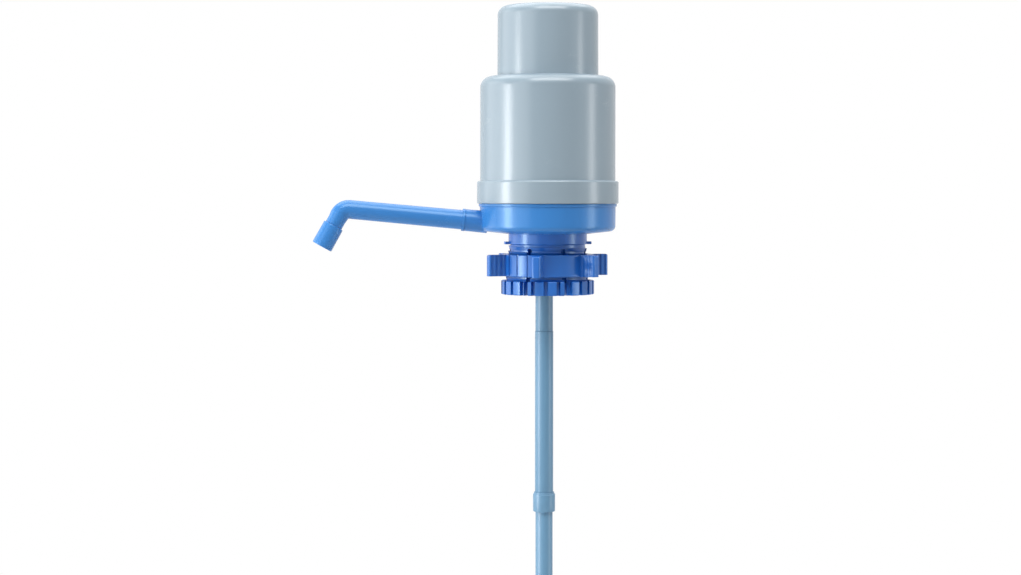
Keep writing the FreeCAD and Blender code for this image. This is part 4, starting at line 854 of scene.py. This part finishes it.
class PUMP_OT_neck_collet(PumpOperator, bpy.types.Operator):
    """Makes the threaded collet with its lugged flange, its slots and the band above them"""
    bl_idname = "pump.neck_collet"
    bl_label = "Neck Collet"

    def execute(self, context):
        sizes, tubes = context.scene.pump_clamp, context.scene.pump_tubes
        top = top_of("neck_collet")
        roof, bore, band = top - sizes.roof, sizes.bore, sizes.band_radius
        flange, flange_top = sizes.flange_radius, sizes.flange_height
        chamfer, flange_edge, band_edge, grip_half = 1.2 * MM, 0.9 * MM, 0.8 * MM, 0.3 * MM
        foot = rounded([
            (bore + chamfer, 0, SOFT), (flange, 0, flange_edge), (flange, flange_top, flange_edge),
            (sizes.cone_low, flange_top, SOFT), (sizes.cone_top, sizes.cone_end, EASED),
            (band, sizes.cone_end, band_edge), (band, top)], steps=5)
        grips, grip_top = [], flange_top - 1 * MM
        for rib in range(sizes.grip_count):
            height = grip_top - rib * sizes.grip_pitch
            grips += [(bore, height + grip_half), (bore - sizes.grip_depth, height),
                      (bore, height - grip_half)]
        collet = lathe("collet_body", [*foot, (0, top), (0, roof), (bore, roof), *grips, (bore, chamfer)])
        sunk, run_out = 1 * MM, 0.6 * MM
        low, high = flange_top - sunk, sizes.cone_end - run_out
        thread = made_by(thread_group(), "thread", "royal_plastic", Low=low, Height=high - low,
                         Low_Radius=cone_at(sizes, low), High_Radius=cone_at(sizes, high),
                         Pitch=sizes.thread_pitch, Depth=sizes.thread_depth,
                         Root_Width=sizes.thread_root, Crest_Width=sizes.thread_crest)
        combine(collet, thread, "UNION")
        half, slot_end = sizes.slot_width / 2, sizes.slot_end
        upright = Matrix(((0, 0, 1, 0), (1, 0, 0, 0), (0, 1, 0, 0), (0, 0, 0, 1)))
        slot = plate("slot", [
            (-half, -PAST), (half, -PAST), (half, slot_end, half), (-half, slot_end, half)],
            bore - 4 * PAST, flange + 2 * PAST, steps=6, place=upright)
        combine(collet, ring_of("slots", "royal_plastic", slot, sizes.slot_count, sizes.slot_turn))
        root, reach, spread, web = sizes.lug_root, flange + PAST, math.tan(sizes.lug_gap / 2), 0.02 * MM
        gap = plate("gap", [(root, -root * spread, SOFT), (reach, -reach * spread), (reach, reach * spread),
                            (root, root * spread, SOFT)], -PAST, flange_top - web)
        combine(collet, ring_of("gaps", "royal_plastic", gap, sizes.lug_count, sizes.lug_turn))
        riser_play, place = 0.15 * MM, Matrix.Translation((-tubes.offset, 0, 0))
        hole = tubes.riser_radius + riser_play
        combine(collet, rod("passage", hole, roof - PAST, top + PAST, PIPE_SIDES, place))
        dress(collet, "royal_plastic", "pump_base", "neck_collet")
        inner, outer, width = band - 1.5 * MM, band + sizes.ear_reach, sizes.ear_width / 2
        ear_low, ear_edge = sizes.cone_end + 0.1 * MM, 1 * MM
        ear = plate("ear", [(inner, -width), (outer, -width, ear_edge), (outer, width, ear_edge),
                            (inner, width)], ear_low, ear_low + sizes.ear_height, steps=5)
        dress(ring_of("band_ears", "royal_plastic", ear, sizes.ear_count), "royal_plastic", "pump_base")
        return {"FINISHED"}


class PUMP_OT_clamp_nut(PumpOperator, bpy.types.Operator):
    """Makes the clamp nut with its ribbed fins and the grooved panels between them"""
    bl_idname = "pump.clamp_nut"
    bl_label = "Clamp Nut"

    def execute(self, context):
        sizes = context.scene.pump_clamp
        low, high, radius = sizes.nut_low, sizes.nut_low + sizes.nut_height, sizes.nut_radius
        thread_gap, nut_edge, notch_edge, fin_round = 0.3 * MM, 1 * MM, 0.28 * MM, 2.0 * MM
        room = thread_gap + sizes.thread_depth
        nut = lathe("nut_body", [
            (cone_at(sizes, low) + room, low, SOFT), (radius, low, nut_edge), (radius, high, nut_edge),
            (cone_at(sizes, high) + room, high, SOFT)], steps=6)
        half, reach, edge = sizes.fin_width / 2, sizes.fin_reach, sizes.fin_edge
        deep, fin_root, fin_foot, fin_top = half - sizes.notch_depth, 1.5 * MM, 0.2 * MM, 0.3 * MM
        side = [(radius - fin_root, half)]
        for notch in range(sizes.notch_count):
            start = sizes.notch_start + sizes.notch_pitch * notch
            end = start + sizes.notch_width
            corners = ((start, half), (start, deep), (end, deep), (end, half))
            side += [(x, y, notch_edge) for x, y in corners]
        side = rounded(side + [(reach, half, fin_round), (reach, 0)], steps=7)[:-1]
        rows = []
        for x, y in side:
            past = min(max(x - (reach - edge), 0), edge)
            foot, top = low + fin_foot, high - fin_top - (edge - math.sqrt(edge ** 2 - past ** 2))
            rows.append([(x, y, foot), (x, y, top), (x, -y, top), (x, -y, foot)])
        fin = to_object("fin", loft(rows, capped=True))
        bevel = fin.modifiers.new("soften", "BEVEL")
        bevel.width, bevel.segments, bevel.angle_limit = 0.35 * MM, 2, math.radians(60)
        apply_modifiers(fin)
        combine(nut, ring_of("fins", "royal_plastic", fin, sizes.fin_count, sizes.fin_turn), "UNION")
        middle = sizes.fin_turn - math.pi / sizes.fin_count
        width, inner, outer = sizes.groove_width / 2, radius - sizes.groove_depth, radius + PAST
        for step in range(sizes.groove_count):
            turn = middle + (step - (sizes.groove_count - 1) / 2) * sizes.groove_step
            groove = plate("groove", [(inner, -width, CRISP), (outer, -width), (outer, width),
                                      (inner, width, CRISP)], low - PAST, high + PAST)
            combine(nut, ring_of("grooves", "royal_plastic", groove, sizes.fin_count // 2, turn))
        dress(nut, "royal_plastic", "nut", "clamp_nut")
        return {"FINISHED"}


# ---------------------------------------------------------------- tubes
class PUMP_OT_dip_tube(PumpOperator, bpy.types.Operator):
    """Makes the riser, the two dip tubes and the coupler between them"""
    bl_idname = "pump.dip_tube"
    bl_label = "Riser And Dip Tube"

    def execute(self, context):
        sizes = context.scene.pump_tubes
        place = Matrix.Translation((-sizes.offset, 0, 0))
        foot, top = foot_of("riser_pipe"), top_of("riser_pipe")
        joint, band = top_of("upper_dip_tube"), top_of("neck_collet")
        spigot, bore, radius = sizes.upper_radius - sizes.wall - FIT, sizes.bore, sizes.riser_radius
        flange, flange_low = sizes.flange_radius, band - sizes.flange_height
        riser = lathe("riser", [
            (bore, foot, EASED), (spigot, foot, FULL), (spigot, joint), (radius, joint, EASED),
            (radius, flange_low, SOFT), (flange, flange_low, EASED), (flange, band, EASED),
            (radius, band), (radius, top, SOFT), (bore, top, SOFT)], TUBE_SIDES, place=place)
        dress(riser, "tube_plastic", "pump_base", "riser_pipe")
        tubes = {"upper_dip_tube": sizes.upper_radius, "lower_dip_tube": sizes.lower_radius}
        for node, radius in tubes.items():
            inside, foot, top = radius - sizes.wall, foot_of(node), top_of(node)
            tube = lathe(node.replace("dip_tube", "tube"), [
                (inside, foot, TRIMMED), (radius, foot, EASED), (radius, top, EASED),
                (inside, top, TRIMMED)], TUBE_SIDES, place=place)
            if node == "lower_dip_tube":
                through = 4 * radius
                combine(tube, block("notch", place @ Matrix.Translation((0, 0, foot)), (
                    through, sizes.notch_width, 2 * sizes.notch_height)))
            dress(tube, "tube_plastic", "pump_base", node)
        foot, top, radius = foot_of("tube_coupler"), top_of("tube_coupler"), sizes.coupler_radius
        step, half_stop = 0.8 * MM, 1 * MM
        upper, lower = sizes.upper_radius + FIT, sizes.lower_radius + FIT
        collar, stop = top - sizes.coupler_collar, lower - sizes.wall - FIT
        stop_low, stop_top = (foot + top) / 2 - half_stop, (foot + top) / 2 + half_stop
        coupler = lathe("coupler", [
            (lower, foot, CRISP), (radius, foot, step), (radius, collar, SOFT),
            (radius - step, collar, TRIMMED), (radius - step, top, CRISP), (upper, top, CRISP),
            (upper, stop_top), (stop, stop_top), (stop, stop_low), (lower, stop_low)],
            TUBE_SIDES, place=place)
        dress(coupler, "tube_plastic", "pump_base", "tube_coupler")
        return {"FINISHED"}


# ---------------------------------------------------------------- screws and inner pieces
def screw(sizes, up):
    """A round-headed screw with a cross recess; its shank points away from the head."""
    side = 1 if up else -1
    head, shank, height = sizes.head_radius, sizes.shank_radius, side * sizes.head_height
    tip, taper, point, crown_edge = -side * sizes.shank_length, side * 1.5 * MM, 0.6 * MM, 1.2 * MM
    # Shares of the head's height at its brim, crown and middle, and of its radius at the crown
    brim, crown, middle, narrow = 0.45, 0.95, 0.97, 0.55
    piece = lathe("screw", [
        (0, tip), (point, tip), (shank, tip + taper), (shank, 0), (head, 0, TRIMMED),
        (head, height * brim, FULL), (head * narrow, height * crown, crown_edge),
        (0, height * middle)], SCREW_SIDES)
    for turn in (0, math.pi / 2):
        place = Matrix.Rotation(turn, 4, "Z") @ Matrix.Translation((0, 0, height))
        combine(piece, block("bar", place, (sizes.recess_length, sizes.recess_width, sizes.head_height)))
    return piece


class PUMP_OT_screws(PumpOperator, bpy.types.Operator):
    """Makes the screws of the deck, the plate and the collet"""
    bl_idname = "pump.screws"
    bl_label = "Screws"

    def execute(self, context):
        sizes = context.scene.pump_screws
        rings = (("deck_screws", "pump_base", sizes.deck_count, 0.0, True),
                 ("plate_screws", "cap", sizes.plate_count, 0.0, False),
                 ("collet_screws", "pump_base", sizes.collet_count, math.pi / 4, False))
        for node, body, count, first, up in rings:
            low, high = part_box(node)
            height = high[2] - sizes.head_height if up else low[2] + sizes.head_height
            radius = (high[0] - sizes.head_radius) / math.cos(first)
            ring = ring_of(node.replace("screws", "screw_ring"), "screw_steel", screw(sizes, up), count,
                           first, radius, height, SCREW_TWIST)
            dress(ring, "screw_steel", body, node)
        return {"FINISHED"}


class PUMP_OT_inner_pieces(PumpOperator, bpy.types.Operator):
    """Gives the plates, seals and valves inside the pump their finishes"""
    bl_idname = "pump.inner_pieces"
    bl_label = "Inner Pieces"

    def execute(self, context):
        slots = {"white_plastic": ("bellows_plate", "valve_deck", "bellows_clamp_ring"),
                 "black_rubber": ("deck_seal", "neck_gasket", "riser_seal", "spout_o_ring"),
                 "clear_rubber": ("inlet_valve", "check_valve")}
        for slot, nodes in slots.items():
            for node in nodes:
                paint(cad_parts[node], slot)
        return {"FINISHED"}


# ---------------------------------------------------------------- studio
def soft_light(name, place, size, power):
    """A rectangular soft light at a place, facing the pump."""
    lamp = bpy.data.lights.new(name, "AREA")
    lamp.shape, lamp.size, lamp.size_y = "RECTANGLE", size[0], size[1]
    lamp.energy = power
    light = bpy.data.objects.new(name, lamp)
    light.location = place
    light.rotation_euler = (Vector(LIT_PLACE) - Vector(place)).to_track_quat("-Z", "Y").to_euler()
    bpy.context.scene.collection.objects.link(light)


def white_rays(tree):
    """1 for the rays that should find a plain white background, 0 for those that carry light."""
    rays = tree.node("ShaderNodeLightPath", output="Is Camera Ray")
    return rays + rays.other("Is Glossy Ray") + rays.other("Is Transmission Ray")


def floor_paper(near, far):
    """Pale paper that takes a soft shadow and turns into plain white between two radii."""
    material = bpy.data.materials.new("floor_paper")
    tree = cleared_tree(material)
    place = tree.node("ShaderNodeTexCoord", output="Object")
    across = tree.node("ShaderNodeSeparateXYZ", {"Vector": place}, "X")
    radius = tree.math("SQRT", across * across + across.other("Y") * across.other("Y"))
    fade = tree.node("ShaderNodeMapRange", {"Value": radius, "From Min": near, "From Max": far},
                     interpolation_type="SMOOTHSTEP")
    matt = tree.node("ShaderNodeBsdfDiffuse", {"Color": PAPER})
    white = tree.node("ShaderNodeEmission", {"Color": WHITE, "Strength": 1.0})
    mixed = tree.node("ShaderNodeMixShader", {0: white_rays(tree) * fade, 1: matt, 2: white})
    tree.node("ShaderNodeOutputMaterial", {"Surface": mixed})
    return material


def white_world(level):
    """A world that lights the pump at a level and is plain white behind it."""
    world = bpy.data.worlds.new("studio")
    tree = cleared_tree(world)
    strength = level + white_rays(tree) * (1 - level)
    sky = tree.node("ShaderNodeBackground", {"Color": WHITE, "Strength": strength})
    tree.node("ShaderNodeOutputWorld", {"Surface": sky})
    return world


class PUMP_OT_studio(PumpOperator, bpy.types.Operator):
    """Makes the pale floor, the white surroundings, the soft lights and the camera"""
    bl_idname = "pump.studio"
    bl_label = "Studio"

    def execute(self, context):
        scene = context.scene
        ground = Matrix.Translation((0, 0, foot_of("lower_dip_tube") - FLOOR_GAP))
        disc = bmesh.new()
        bmesh.ops.create_circle(disc, cap_ends=True, segments=TUBE_SIDES, radius=FLOOR_RADIUS)
        floor = to_object("floor", disc, ground)
        floor.data.materials.append(floor_paper(near=0.3, far=0.72))
        lights = (("left_strip", (-1.55, -0.35, -0.12), (0.36, 1.1), 17),
                  ("left_broad", (-1.6, -1.2, 0.3), (1.1, 1.8), 8.4),
                  ("left_panel", (-1.9, 0.6, 0.3), (1.6, 1.8), 14),
                  ("right_strip", (1.38, -0.465, -0.1), (0.30, 1.1), 5.4),
                  ("right_broad", (1.7, -1.0, 0.5), (1.0, 1.5), 1.2),
                  ("overhead", (0.0, -1.2, 1.9), (2.2, 1.2), 50),
                  ("ceiling", (0.0, 0.7, 2.2), (3.4, 2.2), 56))
        for name, place, size, power in lights:
            soft_light(name, place, size, power)
        scene.world = white_world(level=0.03)
        scene.view_settings.view_transform = "Standard"
        lens = bpy.data.cameras.new("camera")
        lens.lens, lens.sensor_width = 70.5, 36
        camera = bpy.data.objects.new("camera", lens)
        distance, height = 1.728, 0.084
        yaw, aside, tilt = math.radians(-7), math.radians(1.066), math.radians(2.6)
        camera.location = (distance * math.sin(yaw), -distance * math.cos(yaw), height)
        camera.rotation_euler = (math.pi / 2 - tilt, 0, yaw + aside)
        scene.collection.objects.link(camera)
        scene.camera = camera
        return {"FINISHED"}


# ---------------------------------------------------------------- panel and start
OPERATORS = (PUMP_OT_push_cap, PUMP_OT_outer_housing, PUMP_OT_bellows, PUMP_OT_base_cup, PUMP_OT_spout,
             PUMP_OT_neck_collet, PUMP_OT_clamp_nut, PUMP_OT_dip_tube, PUMP_OT_screws,
             PUMP_OT_inner_pieces, PUMP_OT_studio)
GROUPS = {"pump_head": PumpHeadSizes, "pump_bellows": BellowsSizes, "pump_cup": CupSizes,
          "pump_spout": SpoutSizes, "pump_clamp": ClampSizes, "pump_tubes": TubeSizes,
          "pump_screws": ScrewSizes, "pump_colours": PumpColours}


class PUMP_PT_panel(bpy.types.Panel):
    """Lists the pump's sizes and the operators that build it"""
    bl_idname = "PUMP_PT_panel"
    bl_label = "Hand Pump"
    bl_space_type = "VIEW_3D"
    bl_region_type = "UI"
    bl_category = "Hand Pump"

    def draw(self, context):
        for operator in OPERATORS:
            self.layout.operator(operator.bl_idname)
        for name, group in GROUPS.items():
            box = self.layout.box()
            box.label(text=name.replace("_", " ").capitalize())
            for size in group.__annotations__:
                box.prop(getattr(context.scene, name), size)


def register():
    for group in (*GROUPS.values(), *OPERATORS, PUMP_PT_panel):
        bpy.utils.register_class(group)
    for name, group in GROUPS.items():
        setattr(bpy.types.Scene, name, bpy.props.PointerProperty(type=group))


def unregister():
    for name in GROUPS:
        delattr(bpy.types.Scene, name)
    for group in reversed((*GROUPS.values(), *OPERATORS, PUMP_PT_panel)):
        bpy.utils.unregister_class(group)


def main():
    register()
    for operator in OPERATORS:
        group, name = operator.bl_idname.split(".")
        getattr(getattr(bpy.ops, group), name)()


if __name__ == "__main__":
    main()
